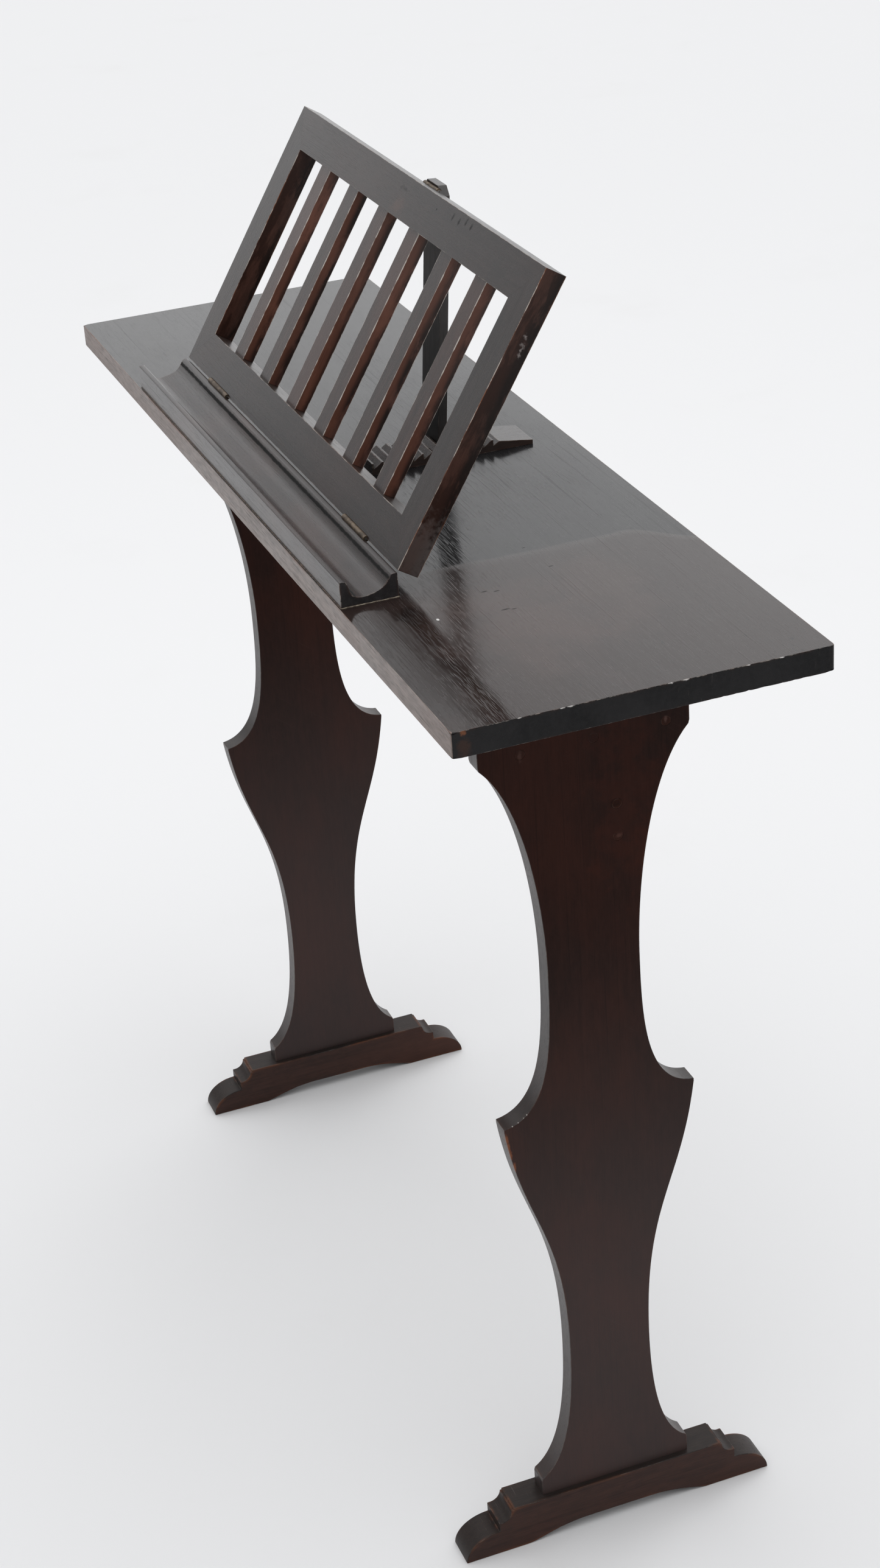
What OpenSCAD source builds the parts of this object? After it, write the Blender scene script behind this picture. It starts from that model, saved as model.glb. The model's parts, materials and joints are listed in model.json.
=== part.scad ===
// Standing reading desk: a narrow top on two shaped board legs, with a slatted
// book rack that is hinged to a moulded pen ledge and held up by a swinging
// strut, whose foot stands on a toothed ratchet board.
// X runs along the desk, -Y is the reader's side and Z is up from the floor.

/* [Table top] */
// Length of the top, end to end
top_length = 1220; // [1060:10:1500]
// Depth of the top, front to back
top_depth = 360; // [350:5:460]
// Thickness of the top
top_thickness = 25; // [18:1:32]
// Height of the upper face above the floor
top_height = 1045; // [1035:5:1150]
// Width of the broken arrises round the top
top_arris = 0.8; // [0.4:0.1:2]

/* [Legs] */
// Thickness of each board leg
leg_thickness = 22; // [18:1:30]
// Distance from each end of the top to the outer face of its leg
top_overhang = 144; // [100:2:200]
// Half width of the leg at its head, under the top
leg_head_half = 106; // [100:1:120]
// Height below the top at which the head's straight sides end
leg_head_drop = 96; // [80:1:110]
// Half width of the upper neck
upper_neck_half = 48; // [42:1:60]
// Height of the upper neck above the floor
upper_neck_z = 690; // [660:5:720]
// Half width across the wing points
wing_half = 102; // [90:1:115]
// Height of the wing points above the floor
wing_z = 524; // [500:2:540]
// Half width of the lower neck
lower_neck_half = 44.5; // [38:0.5:55]
// Height of the lower neck above the floor
lower_neck_z = 235; // [215:5:260]
// Half width of the leg where it stands on its foot
leg_base_half = 84; // [75:1:95]
// Height of the straight sides above the foot
leg_base_rise = 21; // [12:1:30]
// Thickness of the stub tenon under each leg
leg_tenon_thickness = 12; // [8:1:16]
// Half width of the stub tenon under each leg
leg_tenon_half = 60; // [40:1:70]
// Depth of the stub tenon in the foot
leg_tenon_depth = 26; // [15:1:34]

/* [Feet] */
// Length of each foot
foot_length = 352; // [330:2:380]
// Width of each foot
foot_width = 36; // [32:1:50]
// Height of each foot
foot_height = 54; // [48:1:64]
// Length of the rounded toe
toe_length = 39; // [30:1:45]
// Height of the rounded toe
toe_height = 29; // [22:1:34]
// Radius of the cove above the toe
cove_radius = 12; // [8:0.5:14]
// Height of the small step at the top of the cove
foot_step = 2; // [1:0.5:3]
// Half length of the arch under the foot
arch_half = 102; // [90:1:120]
// Height of the arch under the foot
arch_height = 12; // [6:0.5:18]

/* [Under the top] */
// Height of the rail between the legs
stretcher_height = 70; // [60:1:90]
// Thickness of the rail between the legs
stretcher_thickness = 20; // [16:1:24]
// How far the rail stands behind the middle of the legs
stretcher_y = 30; // [0:1:36]
// Height of the middle of the rail above the floor
stretcher_z = 839; // [800:1:860]
// Length of the cleats that hold the top
cleat_length = 186; // [160:2:188]
// Height of the cleats
cleat_height = 104; // [80:1:110]
// Thickness of the cleats
cleat_thickness = 20; // [18:1:26]
// How far the cleats stand behind the middle of the legs
cleat_y = 9; // [0:1:12]
// Height of the cleat's wood above its screw pockets
cleat_web = 26; // [20:1:40]

/* [Pen ledge] */
// How far the ledge reaches past the rack at each end
ledge_overhang = 1; // [0:0.5:20]
// Depth of the pen ledge, front to back
ledge_depth = 57; // [54:0.5:70]
// Height of the ledge's back ridge
ledge_ridge = 24.7; // [23:0.1:28]
// Height of the ledge's front lip
ledge_lip = 26; // [22:0.5:30]
// Radius of the lip's front edge
lip_radius = 3.5; // [1.5:0.5:5]
// Height of the hollow's floor above the top
ledge_floor = 8; // [6:0.5:12]
// Distance of the ledge from the front edge of the top
ledge_setback = 2; // [0:0.5:10]
// How far the ledge and the rack stand left of the desk's middle
rack_offset = 14; // [0:1:40]

/* [Book rack] */
// Width of the rack across its stiles
rack_width = 680; // [600:2:780]
// Height of the rack along its slope
rack_height = 306; // [290:1:330]
// Width of the rack's stiles and rails
member_width = 42; // [34:1:50]
// Thickness of the rack's stiles and rails
member_thickness = 22.5; // [20:0.5:26]
// Slope of the rack above the horizontal
rack_slope = 58.2; // [57:0.1:62]
// Width of each slat
slat_width = 27.5; // [20:0.5:34]
// Thickness of each slat
slat_thickness = 12.5; // [9:0.5:14]
// Depth of the slats' tenons in the rails
slat_tenon = 12; // [6:1:15]
// Thickness of the tenons at the rack's corners
corner_tenon = 7.5; // [5:0.5:10]
// Distance that the corner tenons reach past the inner edge of a stile
corner_reach = 30; // [20:1:34]

/* [Hinges] */
// Length of the two rack hinges
rack_hinge_length = 63; // [50:1:76]
// Distance of each rack hinge from the middle of the rack
rack_hinge_x = 223; // [180:1:240]
// Length of the strut hinge
strut_hinge_length = 38; // [32:1:40]
// Radius of the hinge knuckles
knuckle_radius = 2.9; // [2.4:0.1:3.4]
// Radius of the hinge pins
pin_radius = 1.4; // [1:0.1:1.7]
// Thickness of the hinge leaves
leaf_thickness = 1.5; // [1.2:0.1:2]
// Width of a hinge leaf, from the pin's axis to its far edge
leaf_width = 17; // [15:0.5:19]

/* [Strut and ratchet] */
// Width of the strut
strut_width = 48; // [42:1:56]
// Thickness of the strut
strut_thickness = 9.5; // [8:0.5:12]
// How far the strut stands above its hinge
strut_head = 12; // [8:0.5:16]
// Size of the clipped corners at the strut's head
strut_clip = 9; // [5:0.5:14]
// Height of the bevel at the strut's foot
strut_bevel = 6; // [3:0.5:9]
// Width of the ratchet board
ratchet_width = 48; // [42:1:60]
// How far the ratchet board stands right of the desk's middle
ratchet_shift = 5; // [0:1:10]
// Height of the ratchet's teeth
ratchet_height = 12.5; // [10:0.5:16]
// Distance from tooth to tooth
tooth_pitch = 11; // [9:0.5:12]
// Depth of the notches
tooth_depth = 6; // [4:0.5:8]
// Width of the flat land on each tooth
tooth_land = 2; // [1:0.25:3]
// Number of teeth
tooth_count = 13; // [11:1:14]
// Tooth that the strut's foot stands behind, counted from the front
foot_tooth = 8; // [7:1:9]
// Distance of the first tooth from the front edge of the top
ratchet_setback = 140.4; // [136:0.2:146]
// Length of the ridge and the plain tail behind the last notch
tail_length = 44; // [30:1:48]
// Thickness of the tail's end
tail_end = 4.5; // [3:0.5:7]

/* [Fits] */
// Gap round a tenon in its mortise, and round let-in metalwork
housing_gap = 0.1; // [0.05:0.05:0.3]
// Gap between the two faces that a hinge joins, folded together
hinge_gap = 1; // [0.8:0.1:1.6]
// Radial gap between a hinge pin and its knuckles
pin_fit = 0.05; // [0.03:0.01:0.1]
// Gap between neighbouring knuckles, and round them in the wood
knuckle_gap = 0.3; // [0.2:0.1:0.5]
// Least height of the swinging foot above the teeth
foot_gap = 0.3; // [0.2:0.1:1]
// Distance of the strut's foot behind the tooth that holds it
foot_back = 1.2; // [0.4:0.1:3]

/* [Hidden] */
$fn = 48;

left = -1;
right = 1;
slat_count = 6;
curve_steps = 14;
knuckle_count = 5;

// Screws and plugs: shank radius, head radius, length
frame_shank = 2.25;
frame_head = 4.3;
stretcher_screw_length = 60;
cleat_screw_length = 31;
top_bite = 14;
leaf_shank = 1.1;
leaf_head = 2.1;
leaf_screw_length = 10;
plug_radius = 5;
plug_depth = 7;
pocket_radius = 5.2;
stretcher_screw_spread = 17;
cleat_screw_spread = 73;
cleat_screw_rise = 14;
pocket_spread = 38;
leaf_screw_edge = 8;
ratchet_pin_radius = 1.2;
ratchet_pin_length = 14;
ratchet_pin_shift = 12;

top_under = top_height - top_thickness;
top_front = -top_depth / 2;
leg_outer_x = top_length / 2 - top_overhang;
leg_inner_x = leg_outer_x - leg_thickness;
leg_x = (leg_inner_x + leg_outer_x) / 2;
cleat_x = leg_inner_x - cleat_thickness / 2;
cleat_screw_z = top_under - cleat_height + cleat_screw_rise;
ledge_front = top_front + ledge_setback;
ledge_length = rack_width + 2 * ledge_overhang;

// The rack turns about an axis just behind and above the ledge's back ridge
hinge_half_gap = hinge_gap / 2;
rack_hinge_y = ledge_front + ledge_depth + hinge_half_gap;
hinge_rise = 0.8;
rack_hinge_z = top_height + ledge_ridge + hinge_rise;
leaf_back = hinge_half_gap + leaf_thickness;
leaf_screw_shift = 1;
leaf_screw_drop = (knuckle_radius + leaf_width) / 2 + leaf_screw_shift;
slat_length = rack_height - 2 * member_width;
slat_shoulder = 2.5;
slat_gap = (rack_width - 2 * member_width - slat_count * slat_width) / (slat_count + 1);
slat_back = (member_thickness + slat_thickness) / 2;

// The strut turns about an axis at the upper back arris of the top rail
pivot_s = hinge_half_gap + rack_height;
pivot_n = member_thickness + hinge_half_gap;
pivot_y = rack_hinge_y + pivot_s * cos(rack_slope) + pivot_n * sin(rack_slope);
pivot_z = rack_hinge_z + pivot_s * sin(rack_slope) - pivot_n * cos(rack_slope);

ratchet_front = top_front + ratchet_setback;
tooth_wall_y = ratchet_front + (foot_tooth - 1) * tooth_pitch + tooth_land;
notches_end = ratchet_front + (tooth_count - 1) * tooth_pitch + tooth_land;
ridge_run = 6.5;
ridge_drop = 2.4;

// The foot's front edge clears the teeth at the lowest point of its swing
strut_swing_radius = pivot_z - top_height - ratchet_height - foot_gap;
strut_drop = sqrt(strut_swing_radius ^ 2 - hinge_half_gap ^ 2);
strut_lean = asin((pivot_y - tooth_wall_y - foot_back) / strut_swing_radius)
    + asin(hinge_half_gap / strut_swing_radius);

dark_wood = [0.20, 0.17, 0.16];
red_wood = [0.25, 0.13, 0.10];
pale_wood = [0.30, 0.24, 0.20];
brass = [0.55, 0.42, 0.30];
steel = [0.45, 0.45, 0.46];

// Points of a smooth curve from p to q. Each handle is given as a share of the
// way from p to q, across and up.
function curve(p, q, p_handle, q_handle, steps = curve_steps) =
    let (span = q - p,
         a = p + [span.x * p_handle.x, span.y * p_handle.y],
         b = q - [span.x * q_handle.x, span.y * q_handle.y])
    [for (i = [0:steps])
        let (t = i / steps, u = 1 - t)
        u ^ 3 * p + 3 * u ^ 2 * t * a + 3 * u * t ^ 2 * b + t ^ 3 * q];

// Points of an arc of an ellipse about c, from angle a0 to a1
function arc(c, rx, ry, a0, a1, steps = curve_steps) =
    [for (i = [0:steps])
        let (a = a0 + (a1 - a0) * i / steps)
        c + [rx * cos(a), ry * sin(a)]];

function flipped(points) =
    [for (i = [len(points) - 1:-1:0]) [-points[i].x, points[i].y]];

// A right half outline and its mirror image as one closed outline
module mirrored_outline(half) {
    polygon(concat(half, flipped(half)));
}

// Extrudes an outline drawn in Y and Z along X, about the plane x = 0
module along_x(length) {
    rotate([90, 0, 90])
        translate([0, 0, -length / 2])
            linear_extrude(length)
                children();
}

// A screw whose head lies flush in the plane z = 0 and that points to -Z
module screw(shank, head, length, gap = 0) {
    sink = head - shank;
    rotate_extrude()
        polygon([
            [0, 0],
            [head + gap, 0],
            [shank + gap, -sink],
            [shank + gap, -length + shank],
            [0, -length - gap]
        ]);
}

// The leg's half outline: base, cove, lower neck, wing, upper neck and head
function leg_half_outline() =
    let (base_top = foot_height + leg_base_rise,
         point_flat = 3,
         corner = 3,
         head_z = top_under - leg_head_drop)
    concat(
        [[leg_base_half, foot_height]],
        [[leg_base_half, base_top - corner]],
        curve([leg_base_half - 1, base_top], [lower_neck_half, lower_neck_z],
              [0.74, 0.11], [0, 0.52]),
        curve([lower_neck_half, lower_neck_z], [wing_half, wing_z],
              [0, 0.54], [0.28, 0.41]),
        curve([wing_half, wing_z + point_flat], [upper_neck_half, upper_neck_z],
              [0.95, 0.035], [0, 0.485]),
        curve([upper_neck_half, upper_neck_z], [leg_head_half - 1, head_z - 2],
              [0, 0.35], [0.7, 0.175]),
        [[leg_head_half, head_z + 2]],
        [[leg_head_half, top_under]]);

module leg_tenon(gap = 0) {
    depth = leg_tenon_depth + gap;
    translate([0, 0, foot_height - depth / 2])
        cube([leg_tenon_thickness + 2 * gap, 2 * (leg_tenon_half + gap), depth],
             center = true);
}

// Holes of the leg's screws and plugs, drilled in from its outer face
module leg_drilling(y, z, length) {
    translate([leg_outer_x, y, z])
        rotate([0, 90, 0]) {
            translate([0, 0, -plug_depth])
                cylinder(r = plug_radius + housing_gap, h = plug_depth + 1);
            translate([0, 0, -plug_depth])
                screw(frame_shank, frame_head, length, housing_gap);
        }
}

module stretcher_drilling() {
    for (dz = [-1, 1])
        leg_drilling(stretcher_y, stretcher_z + dz * stretcher_screw_spread,
                     stretcher_screw_length);
}

module cleat_drilling() {
    for (dy = [-1, 0, 1])
        leg_drilling(cleat_y + dy * cleat_screw_spread, cleat_screw_z,
                     cleat_screw_length);
}

module leg(side) {
    color(red_wood)
        mirror([side == left ? 1 : 0, 0, 0])
            difference() {
                translate([leg_x, 0, 0]) {
                    along_x(leg_thickness)
                        mirrored_outline(leg_half_outline());
                    leg_tenon();
                }
                stretcher_drilling();
                cleat_drilling();
            }
}

// The foot's half outline: arch, pad, toe, cove, step and flat top
function foot_half_outline() =
    let (tip = foot_length / 2,
         toe_top = [tip - toe_length, toe_height],
         cove_top = foot_height - foot_step,
         fillet_top = cove_top - cove_radius,
         cove_in = toe_top.x - 3)
    concat(
        curve([0.35 * arch_half, arch_height], [arch_half, 0],
              [0.45, 0], [0.2, 0.25]),
        arc([toe_top.x, 0], toe_length, toe_height, 0, 90),
        [[toe_top.x, fillet_top]],
        arc([cove_in, cove_top], cove_radius, cove_radius, 270, 180),
        [[cove_in - cove_radius - 2, cove_top]],
        [[cove_in - cove_radius - 2, foot_height]]);

module foot(side) {
    color(dark_wood)
        translate([side * leg_x, 0, 0])
            difference() {
                along_x(foot_width)
                    mirrored_outline(foot_half_outline());
                leg_tenon(housing_gap);
            }
}

// Holes of the screws that go up through the cleats into the top
module top_drilling() {
    for (dy = [-1, 1])
        translate([cleat_x, cleat_y + dy * pocket_spread, top_under - cleat_web]) {
            rotate([180, 0, 0])
                screw(frame_shank, frame_head, cleat_web + top_bite, housing_gap);
            translate([0, 0, cleat_web - cleat_height - 1])
                cylinder(r = pocket_radius, h = cleat_height - cleat_web + 1);
        }
}

module table_top() {
    color(dark_wood)
        difference() {
            intersection() {
                along_x(top_length)
                    board_outline(top_depth);
                rotate([0, 0, 90])
                    along_x(top_depth)
                        board_outline(top_length);
            }
            for (side = [left, right])
                mirror([side == left ? 1 : 0, 0, 0])
                    top_drilling();
            ratchet_pin_at(ratchet_pin_radius + housing_gap);
        }
}

// Section of the top with its upper and lower arrises broken
module board_outline(width) {
    half = width / 2;
    a = top_arris;
    mirrored_outline([
        [half - a, top_under],
        [half, top_under + a],
        [half, top_height - a],
        [half - a, top_height]
    ]);
}

module stretcher() {
    color(red_wood)
        difference() {
            translate([0, stretcher_y, stretcher_z])
                cube([2 * leg_inner_x, stretcher_thickness, stretcher_height],
                     center = true);
            for (side = [left, right])
                mirror([side == left ? 1 : 0, 0, 0])
                    stretcher_drilling();
        }
}

module stretcher_screws() {
    color(steel)
        for (side = [left, right], dz = [-1, 1])
            translate([side * (leg_outer_x - plug_depth), stretcher_y,
                       stretcher_z + dz * stretcher_screw_spread])
                rotate([0, side * 90, 0])
                    screw(frame_shank, frame_head, stretcher_screw_length);
}

module cleat(side) {
    color(red_wood)
        mirror([side == left ? 1 : 0, 0, 0])
            difference() {
                translate([cleat_x, cleat_y, top_under - cleat_height / 2])
                    cube([cleat_thickness, cleat_length, cleat_height],
                         center = true);
                cleat_drilling();
                top_drilling();
            }
}

module cleat_screws() {
    color(steel)
        for (side = [left, right], dy = [-1, 0, 1])
            translate([side * (leg_outer_x - plug_depth),
                       cleat_y + dy * cleat_screw_spread, cleat_screw_z])
                rotate([0, side * 90, 0])
                    screw(frame_shank, frame_head, cleat_screw_length);
}

module top_screws() {
    color(steel)
        for (side = [left, right], dy = [-1, 1])
            translate([side * cleat_x, cleat_y + dy * pocket_spread,
                       top_under - cleat_web])
                rotate([180, 0, 0])
                    screw(frame_shank, frame_head, cleat_web + top_bite);
}

module plug(side, y, z) {
    translate([side * (leg_outer_x - plug_depth / 2), y, z])
        rotate([0, 90, 0])
            cylinder(r = plug_radius, h = plug_depth, center = true);
}

module leg_plugs() {
    color(pale_wood)
        for (side = [left, right]) {
            for (dz = [-1, 1])
                plug(side, stretcher_y, stretcher_z + dz * stretcher_screw_spread);
            for (dy = [-1, 0, 1])
                plug(side, cleat_y + dy * cleat_screw_spread, cleat_screw_z);
        }
}

// Section of the ledge, from its front face at x = 0 to its back face
module ledge_outline() {
    lip_back = lip_radius + 3;
    floor_x = 0.4 * ledge_depth;
    ridge_x = ledge_depth - 5;
    polygon(concat(
        [[0, 0]],
        arc([lip_radius, ledge_lip - lip_radius], lip_radius, lip_radius, 180, 90, 6),
        curve([lip_back, ledge_lip - 0.5], [floor_x, ledge_floor],
              [0.3, 0.03], [0.75, 0]),
        curve([floor_x, ledge_floor], [ridge_x, ledge_ridge - 0.5],
              [0.72, 0.1], [0.24, 0.13]),
        [[ledge_depth, ledge_ridge]],
        [[ledge_depth, 0]]));
}

// Places of the two rack hinges along the rack
module at_rack_hinge(side) {
    translate([side * rack_hinge_x, 0, 0])
        children();
}

// Frame of the fixed side of the rack hinges, with the pin's axis as X
module on_ledge() {
    translate([-rack_offset, rack_hinge_y, rack_hinge_z])
        children();
}

// Frame of the rack: Y runs up its slope and Z stands out of its front face
module on_rack() {
    on_ledge()
        rotate([rack_slope, 0, 0])
            children();
}

// Frame of the strut hinge in the rack
module at_pivot() {
    translate([0, pivot_s, -pivot_n])
        children();
}

// Frame of the strut: Y runs up the strut and Z stands out of its front face
module on_strut() {
    translate([-rack_offset, pivot_y, pivot_z])
        rotate([90 - strut_lean, 0, 0])
            children();
}

// Turns a leaf that lies in Y into one that lies in Z
module swap_yz() {
    mirror([0, 1, -1])
        children();
}

module rod(radius, length) {
    rotate([0, 90, 0])
        cylinder(r = radius, h = length, center = true);
}

// Every second knuckle of a hinge, the first or the second one leading
module knuckles(length, lead, radius, gap) {
    step = length / knuckle_count;
    for (i = [lead:2:knuckle_count - 1])
        translate([(i + 0.5) * step - length / 2, 0, 0])
            rod(radius, step + gap);
}

// Centres of the screws along a leaf
function leaf_screw_x(length, count) =
    [for (i = [0:count - 1])
        (length / 2 - leaf_screw_edge) * (2 * i / (count - 1) - 1)];

module leaf_screws(length, count, gap = 0) {
    for (x = leaf_screw_x(length, count))
        translate([x, hinge_half_gap, -leaf_screw_drop])
            rotate([90, 0, 0])
                screw(leaf_shank, leaf_head, leaf_screw_length, gap);
}

// A leaf on the +Y side of its pin, reaching down to -Z
module hinge_leaf(length, lead, count) {
    color(brass)
        difference() {
            union() {
                difference() {
                    translate([-length / 2, hinge_half_gap, -leaf_width])
                        cube([length, leaf_thickness, leaf_width]);
                    knuckles(length, 1 - lead, knuckle_radius + knuckle_gap,
                             knuckle_gap);
                }
                knuckles(length, lead, knuckle_radius, -knuckle_gap);
            }
            rod(pin_radius + pin_fit, length + 1);
            leaf_screws(length, count, housing_gap);
        }
}

// What is cut from the wood for a leaf, its barrel and its screws
module leaf_housing(length, count) {
    long = length + 2 * housing_gap;
    translate([-long / 2, -1, -leaf_width - housing_gap])
        cube([long, 1 + leaf_back, leaf_width + housing_gap]);
    rod(knuckle_radius + knuckle_gap, length + 2 * knuckle_gap);
    leaf_screws(length, count, housing_gap);
}

module pen_ledge() {
    color(dark_wood)
        difference() {
            translate([-rack_offset, ledge_front, top_height])
                along_x(ledge_length)
                    ledge_outline();
            for (side = [left, right])
                on_ledge()
                    at_rack_hinge(side)
                        mirror([0, 1, 0])
                            leaf_housing(rack_hinge_length, 3);
        }
}

module ledge_leaf(side) {
    on_ledge()
        at_rack_hinge(side)
            mirror([0, 1, 0])
                hinge_leaf(rack_hinge_length, 0, 3);
}

module ledge_leaf_screws() {
    color(steel)
        for (side = [left, right])
            on_ledge()
                at_rack_hinge(side)
                    mirror([0, 1, 0])
                        leaf_screws(rack_hinge_length, 3);
}

module rack_hinge_pin(side) {
    color(steel)
        on_ledge()
            at_rack_hinge(side)
                rod(pin_radius, rack_hinge_length);
}

// Section of the ratchet: each tooth is a flat land, a wall on its far side
// and a slope up to the next land. Behind the last notch a low ridge runs out.
module ratchet_outline() {
    valley = ratchet_height - tooth_depth;
    teeth = [for (i = [0:tooth_count - 1])
        let (y = ratchet_front + i * tooth_pitch)
        each [[y, ratchet_height], [y + tooth_land, ratchet_height],
              [y + tooth_land, valley]]];
    polygon(concat(
        [[ratchet_front, 0]],
        teeth,
        [[notches_end + ridge_run, ratchet_height - ridge_drop]],
        [[notches_end + tail_length, tail_end]],
        [[notches_end + tail_length, 0]]));
}

ratchet_pin_y = notches_end + ridge_run + (tail_length - ridge_run) / 2;

module ratchet_pin_at(radius) {
    translate([ratchet_shift + ratchet_pin_shift, ratchet_pin_y,
               top_height + tail_end - ratchet_pin_length])
        cylinder(r = radius, h = ratchet_pin_length);
}

module ratchet_board() {
    color(dark_wood)
        difference() {
            translate([ratchet_shift, 0, top_height])
                along_x(ratchet_width)
                    ratchet_outline();
            ratchet_pin_at(ratchet_pin_radius + housing_gap);
        }
}

module ratchet_pin() {
    color(steel)
        ratchet_pin_at(ratchet_pin_radius);
}

// A flat board between the rack's front and back faces
module rack_board(points) {
    translate([0, hinge_half_gap, -member_thickness])
        linear_extrude(member_thickness)
            polygon(points);
}

// Outlines of the rack's mitred frame
function stile_outline() =
    let (outer = rack_width / 2, inner = outer - member_width)
    [[outer, 0], [outer, rack_height],
     [inner, rack_height - member_width], [inner, member_width]];

function rail_outline(edge, inward) =
    let (outer = rack_width / 2, inner = outer - member_width)
    [[-outer, edge], [outer, edge],
     [inner, edge + inward * member_width], [-inner, edge + inward * member_width]];

// Tenon at the right end of a rail, let into the stile past the mitre
module corner_tenon_at(middle, gap = 0) {
    inner = rack_width / 2 - member_width;
    width = member_width / 3;
    translate([inner - 1, hinge_half_gap + middle - width / 2 - gap,
               -(member_thickness + corner_tenon) / 2 - gap])
        cube([1 + corner_reach + gap, width + 2 * gap, corner_tenon + 2 * gap]);
}

module corner_tenons(middle, gap = 0) {
    for (side = [left, right])
        mirror([side == left ? 1 : 0, 0, 0])
            corner_tenon_at(middle, gap);
}

bottom_rail_middle = member_width / 2;
top_rail_middle = rack_height - member_width / 2;

module stile(side) {
    color(red_wood)
        on_rack()
            mirror([side == left ? 1 : 0, 0, 0])
                difference() {
                    rack_board(stile_outline());
                    corner_tenon_at(bottom_rail_middle, housing_gap);
                    corner_tenon_at(top_rail_middle, housing_gap);
                }
}

function slat_x(i) =
    (i - 0.5 - slat_count / 2) * (slat_width + slat_gap);

// A slat's tenons, one at each end
module slat_tenons(i, gap = 0) {
    width = slat_width - 2 * slat_shoulder;
    thickness = slat_thickness - 2 * slat_shoulder;
    length = slat_length + 2 * (slat_tenon + gap);
    translate([slat_x(i), hinge_half_gap + rack_height / 2, -member_thickness / 2])
        cube([width + 2 * gap, length, thickness + 2 * gap], center = true);
}

module slat(i) {
    color(red_wood)
        on_rack() {
            translate([slat_x(i) - slat_width / 2, hinge_half_gap + member_width,
                       -slat_back])
                cube([slat_width, slat_length, slat_thickness]);
            slat_tenons(i);
        }
}

module all_slat_mortises() {
    for (i = [1:slat_count])
        slat_tenons(i, housing_gap);
}

module bottom_rail() {
    color(dark_wood)
        on_rack()
            difference() {
                union() {
                    rack_board(rail_outline(0, 1));
                    corner_tenons(bottom_rail_middle);
                }
                all_slat_mortises();
                for (side = [left, right])
                    at_rack_hinge(side)
                        leaf_housing(rack_hinge_length, 3);
            }
}

module top_rail() {
    color(dark_wood)
        on_rack()
            difference() {
                union() {
                    rack_board(rail_outline(rack_height, -1));
                    corner_tenons(top_rail_middle);
                }
                all_slat_mortises();
                at_pivot()
                    swap_yz()
                        leaf_housing(strut_hinge_length, 2);
            }
}

module rack_leaf(side) {
    on_rack()
        at_rack_hinge(side)
            hinge_leaf(rack_hinge_length, 1, 3);
}

module rack_leaf_screws() {
    color(steel)
        on_rack()
            for (side = [left, right])
                at_rack_hinge(side)
                    leaf_screws(rack_hinge_length, 3);
}

module rail_leaf() {
    on_rack()
        at_pivot()
            swap_yz()
                hinge_leaf(strut_hinge_length, 0, 2);
}

module rail_leaf_screws() {
    color(steel)
        on_rack()
            at_pivot()
                swap_yz()
                    leaf_screws(strut_hinge_length, 2);
}

module strut_hinge_pin() {
    color(steel)
        on_rack()
            at_pivot()
                rod(pin_radius, strut_hinge_length);
}

// Turns the leaf of the swinging side against the strut's front face
module on_strut_front() {
    on_strut()
        mirror([0, 0, 1])
            swap_yz()
                children();
}

module strut() {
    half = strut_width / 2;
    back = -hinge_half_gap - strut_thickness;
    color(dark_wood)
        difference() {
            on_strut()
                intersection() {
                    translate([0, 0, back])
                        linear_extrude(strut_thickness)
                            polygon([
                                [half, -strut_drop],
                                [half, strut_head - strut_clip],
                                [half - strut_clip, strut_head],
                                [-half + strut_clip, strut_head],
                                [-half, strut_head - strut_clip],
                                [-half, -strut_drop]
                            ]);
                    along_x(strut_width)
                        polygon([
                            [-strut_drop, -hinge_half_gap],
                            [-strut_drop + strut_bevel, back],
                            [strut_head, back],
                            [strut_head, -hinge_half_gap]
                        ]);
                }
            on_strut_front()
                leaf_housing(strut_hinge_length, 2);
        }
}

module strut_leaf() {
    on_strut_front()
        hinge_leaf(strut_hinge_length, 1, 2);
}

module strut_leaf_screws() {
    color(steel)
        on_strut_front()
            leaf_screws(strut_hinge_length, 2);
}

table_top();
leg(left);  // left_leg
leg(right);  // right_leg
foot(left);  // left_foot
foot(right);  // right_foot
stretcher();
stretcher_screws();
cleat(left);  // left_cleat
cleat(right);  // right_cleat
cleat_screws();
top_screws();
leg_plugs();
pen_ledge();
ledge_leaf(left);  // left_ledge_leaf
ledge_leaf(right);  // right_ledge_leaf
ledge_leaf_screws();
rack_hinge_pin(left);  // left_hinge_pin
rack_hinge_pin(right);  // right_hinge_pin
ratchet_board();
ratchet_pin();
stile(left);  // left_stile
stile(right);  // right_stile
top_rail();
bottom_rail();
slat(1);  // slat_1
slat(2);  // slat_2
slat(3);  // slat_3
slat(4);  // slat_4
slat(5);  // slat_5
slat(6);  // slat_6
rack_leaf(left);  // left_rack_leaf
rack_leaf(right);  // right_rack_leaf
rack_leaf_screws();
rail_leaf();
rail_leaf_screws();
strut_hinge_pin();
strut();
strut_leaf();
strut_leaf_screws();
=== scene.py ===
"""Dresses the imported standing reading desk: boards, mouldings, metal, floor, light and camera."""
import functools
import json
import logging
import math
from dataclasses import dataclass, field, replace
from enum import Enum
from typing import Sequence

import bmesh
import bpy
import numpy as np
from mathutils import Matrix, Vector, geometry, noise


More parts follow.
